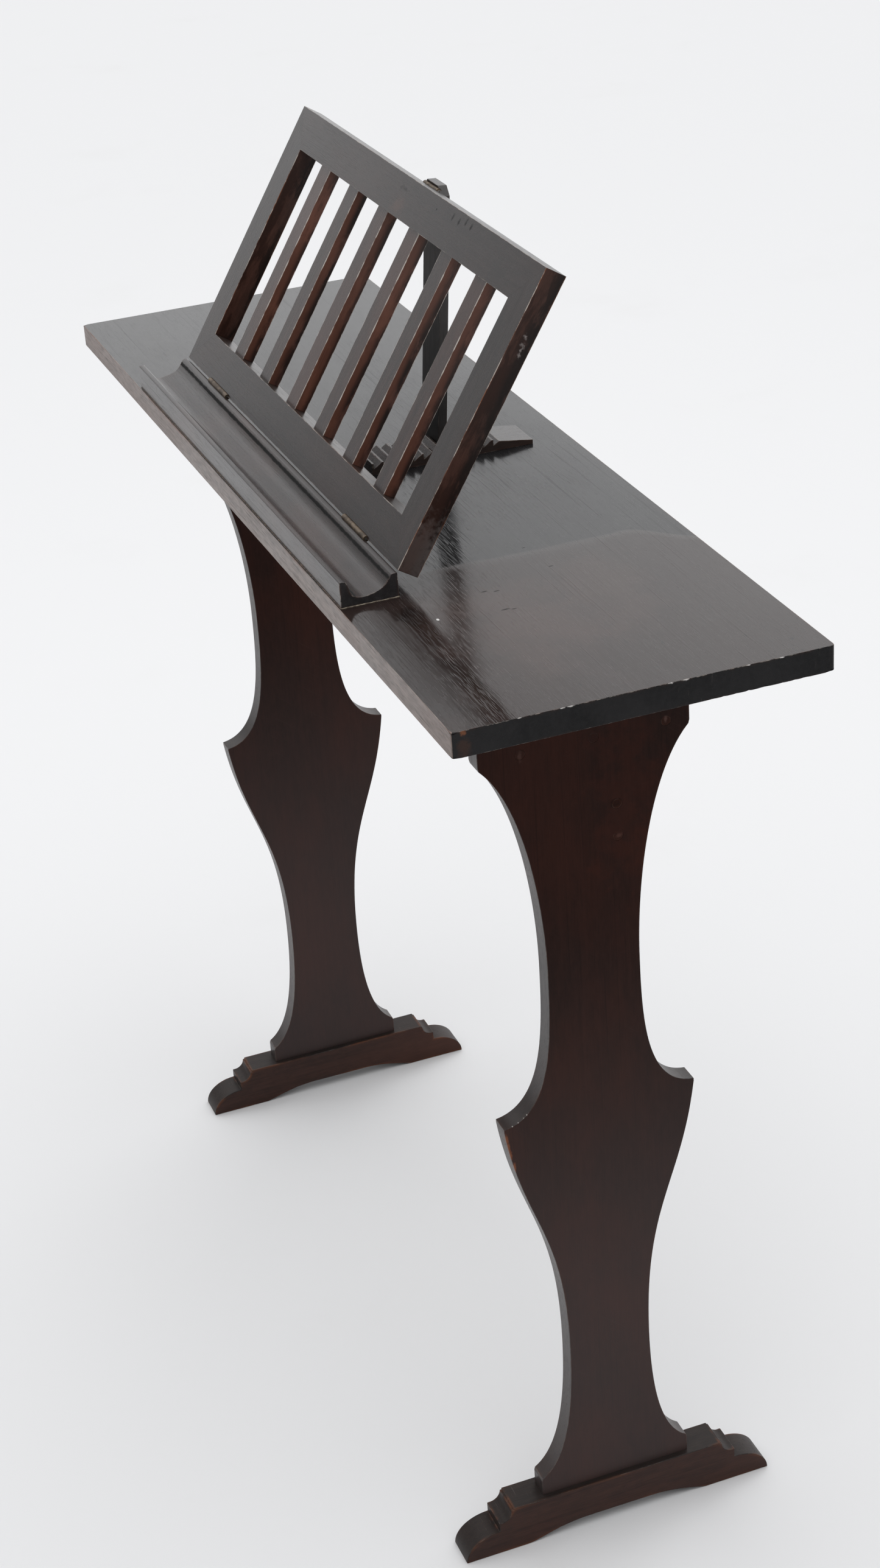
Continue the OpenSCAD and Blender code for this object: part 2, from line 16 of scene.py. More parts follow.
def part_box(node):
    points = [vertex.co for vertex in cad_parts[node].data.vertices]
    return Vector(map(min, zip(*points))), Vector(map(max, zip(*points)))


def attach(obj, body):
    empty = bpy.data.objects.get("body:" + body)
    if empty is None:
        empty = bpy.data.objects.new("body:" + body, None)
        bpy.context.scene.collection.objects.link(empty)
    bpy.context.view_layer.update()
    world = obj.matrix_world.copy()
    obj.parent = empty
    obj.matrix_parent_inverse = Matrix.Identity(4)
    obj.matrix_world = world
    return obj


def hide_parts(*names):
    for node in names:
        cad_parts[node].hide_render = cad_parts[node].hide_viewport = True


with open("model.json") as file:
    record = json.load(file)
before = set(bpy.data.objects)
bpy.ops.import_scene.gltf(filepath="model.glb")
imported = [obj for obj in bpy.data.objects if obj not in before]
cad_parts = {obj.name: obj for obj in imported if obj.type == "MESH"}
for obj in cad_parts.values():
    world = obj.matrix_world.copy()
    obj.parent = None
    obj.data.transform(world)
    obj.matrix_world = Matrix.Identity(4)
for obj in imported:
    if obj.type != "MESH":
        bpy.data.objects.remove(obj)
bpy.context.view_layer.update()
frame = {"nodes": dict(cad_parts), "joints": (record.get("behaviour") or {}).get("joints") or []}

LOG = logging.getLogger("desk")
MM = 0.001
TOUCH = 0.1 * MM
Color = tuple[float, float, float]
Point = tuple[float, float]
Socket = bpy.types.NodeSocket
Piece = bpy.types.Object
SMOOTH_ANGLE = 18
ARRIS_ROUND = 0.293
GLUED_ARRIS = 0.12
RIGHT, UP = Vector((1, 0, 0)), Vector((0, 0, 1))
PORE_BLACK = (0.003, 0.0025, 0.0025)
PATCH_BROWN = (0.0060, 0.0037, 0.0032)
SCRATCH_GREY = (0.10, 0.085, 0.08)


class Axis(Enum):
    """The axis of a board's own frame that its grain runs along."""

    U = 0
    V = 1
    W = 2


class Side(Enum):
    """Material slots of a board: the outline's two ends, its V sides and its U sides."""

    FACE = 0
    EDGE = 1
    FLANK = 2


class Shader:
    """The node tree of a material or a world while it is being wired."""

    def __init__(self, owner: bpy.types.Material | bpy.types.World) -> None:
        """Clears the owner's tree.

        Args:
            owner: What the tree belongs to.
        """
        self.owner = owner
        owner.use_nodes = True
        self.tree = owner.node_tree
        self.tree.nodes.clear()

    @classmethod
    def for_material(cls, name: str) -> "Shader":
        """Starts the tree of a new material."""
        return cls(bpy.data.materials.new(name))

    def node(self, kind: str, **inputs: object) -> bpy.types.Node:
        """Adds a node and fills its inputs.

        Args:
            kind: Node type without the ShaderNode prefix.
            **inputs: Values or sockets by input name, with _ for a blank, or node properties in lower case.

        Returns:
            The new node.
        """
        made = self.tree.nodes.new("ShaderNode" + kind)
        for key, value in inputs.items():
            if key[0].islower():
                setattr(made, key, value)
        for key, value in inputs.items():
            if not key[0].islower():
                self.feed(made.inputs[key.replace("_", " ")], value)
        return made

    def feed(self, socket: Socket, value: object) -> None:
        """Links a socket into an input, or sets the input's own value.

        Args:
            socket: The input.
            value: Socket or value.
        """
        if isinstance(value, bpy.types.NodeSocket):
            self.tree.links.new(value, socket)
        else:
            socket.default_value = value

    def math(self, operation: str, *values: object, clamp: bool = False) -> Socket:
        """Does one sum on numbers.

        Args:
            operation: Name of the Math node's operation.
            *values: Numbers or sockets.
            clamp: True keeps the result between 0 and 1.

        Returns:
            The result's socket.
        """
        made = self.node("Math", operation=operation, use_clamp=clamp)
        for socket, value in zip(made.inputs, values):
            self.feed(socket, value)
        return made.outputs[0]

    def scaled(self, vector: Socket, factors: Sequence[float]) -> Socket:
        """Stretches a vector by one factor for each axis.

        Args:
            vector: The vector's socket.
            factors: Three factors.

        Returns:
            The stretched vector's socket.
        """
        made = self.node("VectorMath", operation="MULTIPLY")
        self.feed(made.inputs[0], vector)
        self.feed(made.inputs[1], tuple(factors))
        return made.outputs[0]

    def added(self, vector: Socket, other: Socket) -> Socket:
        """Adds two vectors.

        Args:
            vector: One vector's socket.
            other: The other's.

        Returns:
            The sum's socket.
        """
        made = self.node("VectorMath", operation="ADD")
        self.feed(made.inputs[0], vector)
        self.feed(made.inputs[1], other)
        return made.outputs[0]

    def total(self, start: object, *terms: tuple[object, float]) -> Socket:
        """Adds weighted numbers.

        Args:
            start: Number or socket.
            *terms: Pairs of a socket and its weight.

        Returns:
            The sum's socket.
        """
        for value, weight in terms:
            start = self.math("MULTIPLY_ADD", value, weight, start)
        return start

    def noise(self, vector: Socket, factors: Sequence[float], detail: float = 2.0,
              roughness: float = 0.5) -> Socket:
        """Makes a soft noise from 0 to 1.

        Args:
            vector: Where the noise is read, in metres.
            factors: Blotches in a metre along each axis.
            detail: How many finer layers are added.
            roughness: How strong the finer layers are.

        Returns:
            The noise's socket.
        """
        made = self.node("TexNoise", Vector=self.scaled(vector, factors), Scale=1.0, Detail=detail,
                         Roughness=roughness)
        return made.outputs[0]

    def step(self, value: object, low: float, high: float) -> Socket:
        """Rises smoothly from 0 at low to 1 at high, or falls where high is the smaller.

        Args:
            value: Number or socket.
            low: Where the result is 0.
            high: Where it is 1.

        Returns:
            The result's socket.
        """
        flip = high < low
        made = self.node("MapRange", interpolation_type="SMOOTHSTEP", Value=value,
                         From_Min=min(low, high), From_Max=max(low, high),
                         To_Min=1.0 if flip else 0.0, To_Max=0.0 if flip else 1.0)
        return made.outputs[0]

    def mix(self, factor: object, first: object, second: object) -> Socket:
        """Blends two colours.

        Args:
            factor: Share of the second colour.
            first: Colour or socket.
            second: Colour or socket.

        Returns:
            The blended colour's socket.
        """
        made = self.node("Mix", data_type="RGBA", clamp_factor=True)
        for index, value in ((0, factor), (6, first), (7, second)):
            full = (*value, 1.0) if isinstance(value, tuple) else value
            self.feed(made.inputs[index], full)
        return made.outputs[2]

    def laid(self, color: object, other: Color, factor: Socket, strength: float) -> Socket:
        """Lays another colour over one.

        Args:
            color: Colour or socket.
            other: What is laid over it.
            factor: Where it lies, from 0 to 1.
            strength: How much it covers there.

        Returns:
            The blended colour's socket.
        """
        return self.mix(self.math("MULTIPLY", factor, strength), color, other)

    def dot(self, vector: Socket, other: Sequence[float]) -> Socket:
        """Multiplies a vector by a fixed one into one number.

        Args:
            vector: The vector's socket.
            other: The fixed vector.

        Returns:
            The product's socket.
        """
        made = self.node("VectorMath", operation="DOT_PRODUCT")
        self.feed(made.inputs[0], vector)
        self.feed(made.inputs[1], tuple(other))
        return made.outputs["Value"]

    def surface(self, color: object, roughness: object, normal: object, specular: float = 0.5,
                metallic: float = 0.0) -> bpy.types.Material:
        """Ends a material with its surface.

        Args:
            color: Colour or socket.
            roughness: Number or socket.
            normal: Socket of the bumped normal.
            specular: Strength of the gloss.
            metallic: Share of metal.

        Returns:
            The finished material.
        """
        made = self.node("BsdfPrincipled", Base_Color=color, Roughness=roughness, Normal=normal,
                         Metallic=metallic, Specular_IOR_Level=specular)
        self.node("OutputMaterial", Surface=made.outputs[0])
        return self.owner


@dataclass(frozen=True)
class Layer:
    """One layer of a wood's figure: noise drawn out along the grain.

    Attributes:
        along: Blotches in a metre along the grain.
        across: Blotches in a metre across it.
        detail: How many finer layers are added.
        roughness: How strong the finer layers are.
    """

    along: float
    across: float
    detail: float = 2.0
    roughness: float = 0.5

    def read(self, s: Shader, grain: Socket) -> Socket:
        """The layer's noise, from 0 to 1."""
        return s.noise(grain, (self.along, self.across, self.across), self.detail, self.roughness)


BEND = Layer(1.7, 7)
FIBRE = Layer(12, 900, 2.0, 0.55)
STREAK = Layer(3.5, 260, 3.0, 0.6)
BAND = Layer(1.1, 34, 3.0, 0.55)
CLOUD = Layer(3.2, 7, 4.0, 0.6)
PORE = Layer(48, 2100, 1.0)
LINE = Layer(4.5, 460, 2.0, 0.55)
MOTTLE = Layer(55, 160, 4.0, 0.65)
PATCH = Layer(17, 60, 5.0, 0.70)
SMEAR = Layer(7, 13, 5.0, 0.6)
RUB = Layer(11, 60, 3.0, 0.6)
CHIP = Layer(70, 150, 4.0, 0.7)


@dataclass(frozen=True)
class Blemish:
    """A mark on a finish, with a ragged edge, at a place of the finished desk.

    Attributes:
        center: Its middle.
        radius: Its size before it is stretched.
        color: Its colour.
        strength: How much of the finish it covers, from 0 to 1.
        rough: Roughness that it adds.
        stretch: Factors on the distance from its middle.
        ragged: How far its edge wanders, as a share of the radius.
        grit: Bumps of its edge in a metre.
    """

    center: tuple[float, float, float]
    radius: float
    color: Color
    strength: float
    rough: float
    stretch: tuple[float, float, float]
    ragged: float
    grit: float

    def wire(self, s: Shader, color: Socket, rough: Socket) -> tuple[Socket, Socket]:
        """Adds the mark to a finish.

        Args:
            s: The finish's tree.
            color: Colour so far.
            rough: Roughness so far.

        Returns:
            Colour and roughness with the mark.
        """
        place = s.node("TexCoord").outputs["Object"]
        away = s.node("VectorMath", operation="SUBTRACT")
        s.feed(away.inputs[0], place)
        s.feed(away.inputs[1], self.center)
        length = s.node("VectorMath", operation="LENGTH")
        s.feed(length.inputs[0], s.scaled(away.outputs[0], self.stretch))
        edge = s.noise(place, (self.grit,) * 3, 4.0, 0.65)
        reach = s.total(length.outputs["Value"], (edge, self.ragged * self.radius * 2))
        outer = self.radius * (1 + self.ragged)
        factor = s.math("MULTIPLY", s.step(reach, outer, 0.6 * outer), self.strength)
        return s.mix(factor, color, self.color), s.total(rough, (factor, self.rough))


def blemishes(rows: Sequence[tuple[float, float, float, float]], *look: object) -> tuple[Blemish, ...]:
    """Marks of one look at several places.

    Args:
        rows: X, Y, Z and radius of each.
        *look: A mark's other values, from its colour on.

    Returns:
        The marks.
    """
    return tuple(Blemish((x, y, z), radius, *look) for x, y, z, radius in rows)


@dataclass(frozen=True)
class StainedWood:
    """Stained and waxed hardwood whose arrises carry a pale line, partly wear and partly a painted highlight.

    The reaches are in millimetres from the arris, and so is the relief's depth.
    """

    name: str
    deep: Color = (0.0105, 0.0080, 0.0078)
    light: Color = (0.0240, 0.0165, 0.0150)
    red: Color = (0.045, 0.0180, 0.0125)
    bare: Color = (0.150, 0.052, 0.022)
    chalk_and_highlight: Color = (0.50, 0.44, 0.39)
    low_sheen_color: Color = (0.36, 0.32, 0.32)
    glow_color: Color = (0.062, 0.0215, 0.0130)
    redness: float = 0.25
    roughness: float = 0.24
    specular: float = 0.5
    pores: float = 0.6
    lines: float = 0.35
    chalk_and_highlight_amount: float = 0.4
    chalk_and_highlight_reach: float = 0.12
    bare_wear: float = 0.3
    bare_reach: float = 3.0
    relief: float = 0.05
    clouding: float = 0.16
    patches: float = 0.0
    low_sheen: float = 0.0
    glow: float = 0.0
    scratches: float = 0.3
    blemishes: tuple[Blemish, ...] = ()

    def material(self) -> bpy.types.Material:
        """Wires the finish.

        Returns:
            The material, which reads the board's own grain, rim and depth attributes.
        """
        s = Shader.for_material(self.name)
        grain = s.node("Attribute", attribute_name="grain").outputs["Vector"]
        color, rough, height = self.figure(s, grain)
        color, rough = self.marks(s, color, rough)
        for blemish in self.blemishes:
            color, rough = blemish.wire(s, color, rough)
        color, rough = self.age(s, grain, color, rough)
        bump = s.node("Bump", Strength=1.0, Distance=self.relief * MM, Height=height)
        return s.surface(color, rough, bump.outputs[0], self.specular)

    def figure(self, s: Shader, grain: Socket) -> tuple[Socket, Socket, Socket]:
        """Wires the wood's own figure under its wax.

        Args:
            s: The finish's tree.
            grain: Place in the board, along its grain first.

        Returns:
            Colour, roughness and height.
        """
        bend = BEND.read(s, grain)
        shift = s.node("CombineXYZ", Y=s.math("MULTIPLY", bend, 10 * MM), Z=s.math("MULTIPLY", bend, 8 * MM))
        bent = s.added(grain, shift.outputs[0])
        fibre, streak, smear = FIBRE.read(s, bent), STREAK.read(s, bent), SMEAR.read(s, grain)
        pore = s.math("MULTIPLY", s.step(PORE.read(s, bent), 0.58, 0.70), self.pores)
        line = s.math("MULTIPLY", s.step(LINE.read(s, bent), 0.58, 0.74), self.lines)
        dark = s.math("MAXIMUM", pore, line)
        tone = s.total(0.0, (s.step(fibre, 0.28, 0.72), 0.2), (s.step(streak, 0.3, 0.7), 0.25),
                       (s.step(BAND.read(s, bent), 0.3, 0.7), 0.2),
                       (s.step(MOTTLE.read(s, grain), 0.36, 0.64), 0.35))
        color = s.mix(tone, self.deep, self.light)
        color = s.laid(color, self.red, s.step(CLOUD.read(s, grain), 0.40, 0.68), self.redness)
        if self.patches:
            color = s.laid(color, PATCH_BROWN, s.step(PATCH.read(s, grain), 0.60, 0.46), self.patches)
        color = s.laid(color, PORE_BLACK, dark, 0.8)
        rough = s.total(self.roughness - self.clouding, (smear, self.clouding), (dark, 0.30), (streak, 0.12),
                        (fibre, 0.04))
        height = s.total(0.0, (fibre, 0.25), (streak, 0.30), (dark, -0.8), (smear, 1.2))
        return color, rough, height

    def marks(self, s: Shader, color: Socket, rough: Socket) -> tuple[Socket, Socket]:
        """Adds fine scratches from use.

        Args:
            s: The finish's tree.
            color: Colour so far.
            rough: Roughness so far.

        Returns:
            Colour and roughness with the marks.
        """
        grain = s.node("Attribute", attribute_name="grain").outputs["Vector"]
        tilted = s.node("VectorRotate", rotation_type="Z_AXIS", Vector=grain, Angle=0.9).outputs[0]
        fine = s.step(s.noise(tilted, (14, 900, 60), 2.0, 0.5), 0.66, 0.72)
        where = s.step(s.noise(grain, (9, 9, 9), 1.0, 0.5), 0.52, 0.66)
        scratch = s.math("MULTIPLY", s.math("MULTIPLY", fine, where), self.scratches)
        return s.mix(scratch, color, SCRATCH_GREY), s.total(rough, (scratch, 0.4))

    def age(self, s: Shader, grain: Socket, color: Socket, rough: Socket) -> tuple[Socket, Socket]:
        """Adds a painted sheen low down, the glow of rubbed wax toward the front, and rubbed and broken arrises
        whose pale line is partly wear and partly a painted highlight.

        Args:
            s: The finish's tree.
            grain: Place in the board, along its grain first.
            color: Colour so far.
            rough: Roughness so far.

        Returns:
            Colour and roughness of the aged finish.
        """
        rim = s.node("Attribute", attribute_name="rim").outputs["Fac"]
        rub, chip = RUB.read(s, grain), CHIP.read(s, grain)
        # Lighter towards the bottom: a painted sheen in the base colour.
        if self.low_sheen:
            height = s.dot(s.node("TexCoord").outputs["Object"], (0, 0, 1))
            color = s.laid(color, self.low_sheen_color, s.step(height, 0.78, 0.22), self.low_sheen)
        if self.glow:
            depth = s.node("Attribute", attribute_name="depth").outputs["Fac"]
            front = s.step(s.total(depth, (rub, 0.8), (CLOUD.read(s, grain), 0.5)), 0.75, 1.35)
            color = s.laid(color, self.glow_color, front, self.glow)
        warm = s.math("MULTIPLY", s.step(rim, self.bare_reach * MM, 0.3 * MM), s.step(rub, 0.42, 0.64))
        color = s.laid(color, self.bare, warm, self.bare_wear)
        # The pale line on the rounded arris is partly wear and partly a painted highlight where the arris catches
        # light.
        reach = s.total(self.chalk_and_highlight_reach * MM, (s.step(chip, 0.36, 0.70), 0.42 * MM))
        broken = s.step(s.math("SUBTRACT", rim, reach), 0.14 * MM, -0.14 * MM)
        faint = s.total(0.4, (s.step(chip, 0.40, 0.60), 0.6))
        chalk_and_highlight_mask = s.math("MULTIPLY", s.math("MULTIPLY", broken, faint), self.chalk_and_highlight_amount, clamp=True)
        return s.mix(chalk_and_highlight_mask, color, self.chalk_and_highlight), s.total(rough, (chalk_and_highlight_mask, 0.25))


@dataclass(frozen=True)
class DeskTopWood(StainedWood):
    """The top's wood, with the ghost of something that long lay on it."""

    ghost_x: float = 281 * MM
    ghost_flare: float = 50 * MM
    ghost_wander: float = 12 * MM
    ghost_brown: Color = (0.042, 0.023, 0.018)
    ghost_grey: Color = (0.070, 0.064, 0.061)

    def marks(self, s: Shader, color: Socket, rough: Socket) -> tuple[Socket, Socket]:
        """Adds the ghost and short dark dents to the fine scratches.

        Args:
            s: The finish's tree.
            color: Colour so far.
            rough: Roughness so far.

        Returns:
            Colour and roughness with the marks.
        """
        color, rough = super().marks(s, color, rough)
        place = s.node("TexCoord").outputs["Object"]
        parts = s.node("SeparateXYZ", Vector=place)
        flare = s.math("MULTIPLY", s.step(parts.outputs[1], 120 * MM, 190 * MM), self.ghost_flare)
        beyond = s.total(parts.outputs[0], (flare, -1.0), (s.noise(place, (11, 11, 11)), -self.ghost_wander))
        near = self.ghost_x
        bare_side = s.step(beyond, near - 1 * MM, near + 4 * MM)
        edge = s.math("MULTIPLY", s.step(beyond, near + 16 * MM, near + 2 * MM),
                      s.step(beyond, near - 3 * MM, near + 1 * MM))
        color = s.laid(color, self.ghost_brown, bare_side, 0.45)
        color = s.laid(color, self.ghost_grey, edge, 0.6)
        rough = s.total(rough, (bare_side, 0.05), (edge, 0.08))
        dent = s.step(s.noise(place, (70, 420, 10), 1.0, 0.4), 0.735, 0.76)
        return s.laid(color, PORE_BLACK, dent, 0.8), rough


@dataclass(frozen=True)
class DullMetal:
    """Old metal, darkened unevenly and rubbed bright in spots."""

    name: str
    dark: Color
    bright: Color
    roughness: float
    metallic: float

    def material(self) -> bpy.types.Material:
        """Wires the finish.

        Returns:
            The material, which reads the object's own coordinates.
        """
        s = Shader.for_material(self.name)
        place = s.node("TexCoord").outputs["Object"]
        blotch = s.noise(place, (160, 160, 160), 3.0, 0.6)
        brushed = s.noise(place, (60, 1800, 1800), 2.0, 0.5)
        color = s.mix(s.step(blotch, 0.36, 0.66), self.dark, self.bright)
        rough = s.total(self.roughness + 0.16, (blotch, -0.32))
        height = s.total(0.0, (blotch, 0.6), (brushed, 0.25))
        bump = s.node("Bump", Strength=0.8, Distance=0.05 * MM, Height=height)
        return s.surface(color, rough, bump.outputs[0], 0.5, self.metallic)


@dataclass(frozen=True)
class OldGlue:
    """Dried glue squeezed out of a joint."""

    name: str
    pale: Color
    dirty: Color

    def material(self) -> bpy.types.Material:
        """Wires the finish.

        Returns:
            The material.
        """
        s = Shader.for_material(self.name)
        place = s.node("TexCoord").outputs["Object"]
        patch = s.noise(place, (220, 220, 220), 3.0, 0.6)
        bump = s.node("Bump", Strength=1.0, Distance=0.1 * MM, Height=patch)
        return s.surface(s.mix(s.step(patch, 0.4, 0.6), self.dirty, self.pale), 0.5, bump.outputs[0], 0.3)


@dataclass(frozen=True)
class PaperFloor:
    """White background paper, faintly marked."""

    name: str = "paper_floor"
    white: Color = (0.780, 0.780, 0.784)
    mark: Color = (0.73, 0.725, 0.72)

    def material(self) -> bpy.types.Material:
        """Wires the finish.

        Returns:
            The material of the floor.
        """
        s = Shader.for_material(self.name)
        place = s.node("TexCoord").outputs["Object"]
        scuff = s.step(s.noise(place, (2.6, 2.6, 2.6), 6.0, 0.62), 0.55, 0.82)
        color = s.laid(self.white, self.mark, scuff, 0.3)
        bump = s.node("Bump", Strength=0.3, Distance=0.5 * MM, Height=s.noise(place, (5, 5, 5), 2.0))
        return s.surface(color, 0.9, bump.outputs[0], 0.1)


Finish = StainedWood | DullMetal | OldGlue | PaperFloor


@functools.lru_cache(maxsize=None)
def dressed(finish: Finish) -> bpy.types.Material:
    """Makes a finish's material once and returns it each time."""
    return finish.material()


def curve(p: Point, q: Point, p_handle: Point, q_handle: Point, steps: int = 40) -> list[Point]:
    """Points of a smooth curve between two points.

    Args:
        p: Start.
        q: End.
        p_handle: Handle at the start, as shares of the way across and up.
        q_handle: Handle at the end, likewise.
        steps: Number of straight pieces.

    Returns:
        The points, both ends among them.
    """
    across, up = q[0] - p[0], q[1] - p[1]
    a = (p[0] + across * p_handle[0], p[1] + up * p_handle[1])
    b = (q[0] - across * q_handle[0], q[1] - up * q_handle[1])
    made = []
    for i in range(steps + 1):
        t = i / steps
        w = ((1 - t) ** 3, 3 * (1 - t) ** 2 * t, 3 * (1 - t) * t * t, t ** 3)
        made.append(tuple(w[0] * p[k] + w[1] * a[k] + w[2] * b[k] + w[3] * q[k] for k in (0, 1)))
    return made


def arc(center: Point, rx: float, ry: float, start: float, end: float, steps: int = 16) -> list[Point]:
    """Points of an elliptic arc.

    Args:
        center: Middle of the ellipse.
        rx: Radius across.
        ry: Radius up.
        start: First angle in degrees.
        end: Last angle in degrees.
        steps: Number of straight pieces.

    Returns:
        The points, both ends among them.
    """
    angles = np.radians(np.linspace(start, end, steps + 1))
    return [(center[0] + rx * math.cos(a), center[1] + ry * math.sin(a)) for a in angles]


def smoothed(points: Sequence[Point], parts: int) -> list[Point]:
    """A smooth curve through measured points.

    Args:
        points: The points.
        parts: Number of pieces between two of them.

    Returns:
        Points of the curve, the measured ones among them.
    """
    known = np.array([points[0], *points, points[-1]])
    made = []
    for a, b, c, d in zip(known, known[1:], known[2:], known[3:]):
        for k in range(parts):
            t = k / parts
            made.append(0.5 * (2 * b + (c - a) * t + (2 * a - 5 * b + 4 * c - d) * t ** 2
                               + (3 * b - a - 3 * c + d) * t ** 3))
    return [(float(u), float(v)) for u, v in [*made, known[-1]]]


def mirrored(half: Sequence[Point]) -> list[Point]:
    """A right half outline with its mirror image, as one closed outline."""
    return list(half) + [(-u, v) for u, v in reversed(half)]


def frame_matrix(u: Vector, v: Vector, w: Vector, origin: Vector) -> Matrix:
    """A placing matrix from three axes and an origin.

    Args:
        u: First axis.
        v: Second axis.
        w: Third axis.
        origin: The origin.

    Returns:
        The matrix.
    """
    made = Matrix((u, v, w)).transposed().to_4x4()
    made.translation = origin
    return made


def upright(x: float) -> Matrix:
    """Frame of an outline drawn in Y and Z that is carried along X from x."""
    return frame_matrix(Vector((0, 1, 0)), UP, RIGHT, RIGHT * x)


def segment_distance(points: np.ndarray, starts: np.ndarray, ends: np.ndarray) -> np.ndarray:
    """Distance of each point from the nearest of some segments in the plane.

    Args:
        points: Points, n by 2.
        starts: Segment starts, m by 2.
        ends: Segment ends, m by 2.

    Returns:
        n distances.
    """
    best = np.full(len(points), np.inf)
    for a, b in zip(starts, ends):
        run = b - a
        share = np.clip((points - a) @ run / max(run @ run, 1e-18), 0, 1)
        best = np.minimum(best, np.hypot(*(points - a - share[:, None] * run).T))
    return best


def inside(points: np.ndarray, outline: np.ndarray) -> np.ndarray:
    """Tells which points lie within a closed outline.

    Args:
        points: Points, n by 2.
        outline: Corners of the outline, m by 2.

    Returns:
        n truth values.
    """
    found = np.zeros(len(points), bool)
    for (x0, y0), (x1, y1) in zip(outline, np.roll(outline, -1, 0)):
        crosses = (y0 > points[:, 1]) != (y1 > points[:, 1])
        if y0 != y1:
            found ^= crosses & (points[:, 0] < (x1 - x0) * (points[:, 1] - y0) / (y1 - y0) + x0)
    return found


@dataclass(frozen=True)
class Wear:
    """A place on an outline where an end's arris is rubbed or chipped away."""

    at: Point
    reach: float
    width: float
    far: bool = True


@dataclass
class Board:
    """A board or moulding: an outline carried straight along its depth, its arrises softened by use."""

    name: str
    outline: Sequence[Point]
    depth: float
    place: Matrix
    grain: Axis
    arris: float = 0.45 * MM
    nicks: float = 0.25
    cell: float = 14 * MM
    spacing: float = 6 * MM
    sharp_turn: float = 20.0
    rings: tuple[float, ...] = (0.9 * MM, 2.6 * MM, 7 * MM)
    wear: tuple[Wear, ...] = ()
    joints: tuple[Point, ...] = ()
    dense: np.ndarray = field(init=False)
    corner_flags: np.ndarray = field(init=False)
    glued: np.ndarray = field(init=False)
    corners: np.ndarray = field(init=False)

    def __post_init__(self) -> None:
        """Turns the outline anticlockwise and finds its corners."""
        points = np.array(self.outline, float)
        keep = np.hypot(*(points - np.roll(points, 1, 0)).T) > 1e-7
        points = points[keep]
        after = np.roll(points, -1, 0)
        if np.sum(points[:, 0] * after[:, 1] - after[:, 0] * points[:, 1]) < 0:
            points = points[::-1].copy()
        self.outline = points
        into = points - np.roll(points, 1, 0)
        out = np.roll(points, -1, 0) - points
        turn = np.arctan2(into[:, 0] * out[:, 1] - into[:, 1] * out[:, 0], (into * out).sum(1))
        self.corner_flags = np.abs(np.degrees(turn)) > self.sharp_turn
        middles = (points + np.roll(points, -1, 0)) / 2
        self.glued = np.array([any(math.dist(m, j) < TOUCH for j in self.joints) for m in middles])
        bare = self.corner_flags & ~self.glued & ~np.roll(self.glued, 1)
        self.corners = points[bare]
        self.dense = self._densified()

    def _densified(self) -> np.ndarray:
        """The outline with rounded corners and points close enough for the wear.

        Returns:
            Its points, n by 2.
        """
        points, flags = self.outline, self.corner_flags
        count = len(points)
        made: list[np.ndarray] = []
        for i in range(count):
            here, ahead = points[i], points[(i + 1) % count]
            length = float(np.hypot(*(ahead - here)))
            way = (ahead - here) / length
            cut_here = min(self.arris, 0.3 * length) if flags[i] else 0.0
            cut_ahead = min(self.arris, 0.3 * length) if flags[(i + 1) % count] else 0.0
            if flags[i]:
                behind = points[i - 1]
                back = float(np.hypot(*(here - behind)))
                cut_back = min(self.arris, 0.3 * back)
                start = here - (here - behind) / back * cut_back
                made.append(0.25 * start + 0.5 * here + 0.25 * (here + way * cut_here))
            stops = {cut_here, length - cut_ahead}
            for ring in self.rings:
                if flags[i] and ring < length / 2:
                    stops.add(ring)
                if flags[(i + 1) % count] and ring < length / 2:
                    stops.add(length - ring)
            stops_sorted = sorted(stops)
            for low, high in zip(stops_sorted, stops_sorted[1:]):
                pieces = max(1, math.ceil((high - low) / self.spacing))
                made += [here + way * (low + (high - low) * k / pieces) for k in range(pieces)]
            if flags[(i + 1) % count]:
                made.append(here + way * (length - cut_ahead))
        return np.array(made)

    def _normals(self) -> np.ndarray:
        """Outward normals of the dense outline.

        Returns:
            One normal for each of its points, n by 2.
        """
        way = np.roll(self.dense, -1, 0) - self.dense
        way /= np.hypot(*way.T)[:, None]
        side = np.stack([way[:, 1], -way[:, 0]], 1)
        both = side + np.roll(side, 1, 0)
        both /= np.hypot(*both.T)[:, None]
        return both / np.clip((both * side).sum(1), 0.6, 1)[:, None]

    def _softness(self, far: bool) -> np.ndarray:
        """Width of the broken arris at each outline point: a light hand, a few nicks and the listed wear.

        Args:
            far: True for the end at the outline's far side.

        Returns:
            Widths in metres.
        """
        seed = sum(ord(c) * (i + 1) for i, c in enumerate(self.name)) % 97 + (31.0 if far else 0.0)
        widths = []
        for u, v in self.dense:
            soft = noise.noise(Vector((u * 30, v * 30, seed)))
            nick = noise.noise(Vector((u * 210, v * 210, seed * 1.7)))
            width = self.arris * (0.9 + 0.12 * soft + self.nicks * 4 * max(0.0, nick - 0.38))
            for spot in self.wear:
                if spot.far == far:
                    away = math.hypot(u - spot.at[0], v - spot.at[1]) / spot.reach
                    width += spot.width * max(0.0, 1 - away * away)
            widths.append(width)
        made = np.array(widths)
        if self.glued.any():
            ends = np.roll(self.outline, -1, 0)
            near = segment_distance(self.dense, self.outline[self.glued], ends[self.glued]) < 2 * TOUCH
            made[near] *= GLUED_ARRIS
        return made

    def _stations(self) -> np.ndarray:
        """Depths at which the sides carry a ring of points, the arrises' own left out.

        Returns:
            The depths in rising order.
        """
        near = [r for r in self.rings if r < self.depth / 2 - 1e-5]
        stops = near + [self.depth - r for r in near]
        stops = sorted(stops) or [self.depth / 2]
        made = [stops[0]]
        for low, high in zip(stops, stops[1:]):
            pieces = max(1, math.ceil((high - low) / self.cell))
            made += [low + (high - low) * (k + 1) / pieces for k in range(pieces)]
        return np.array(made)

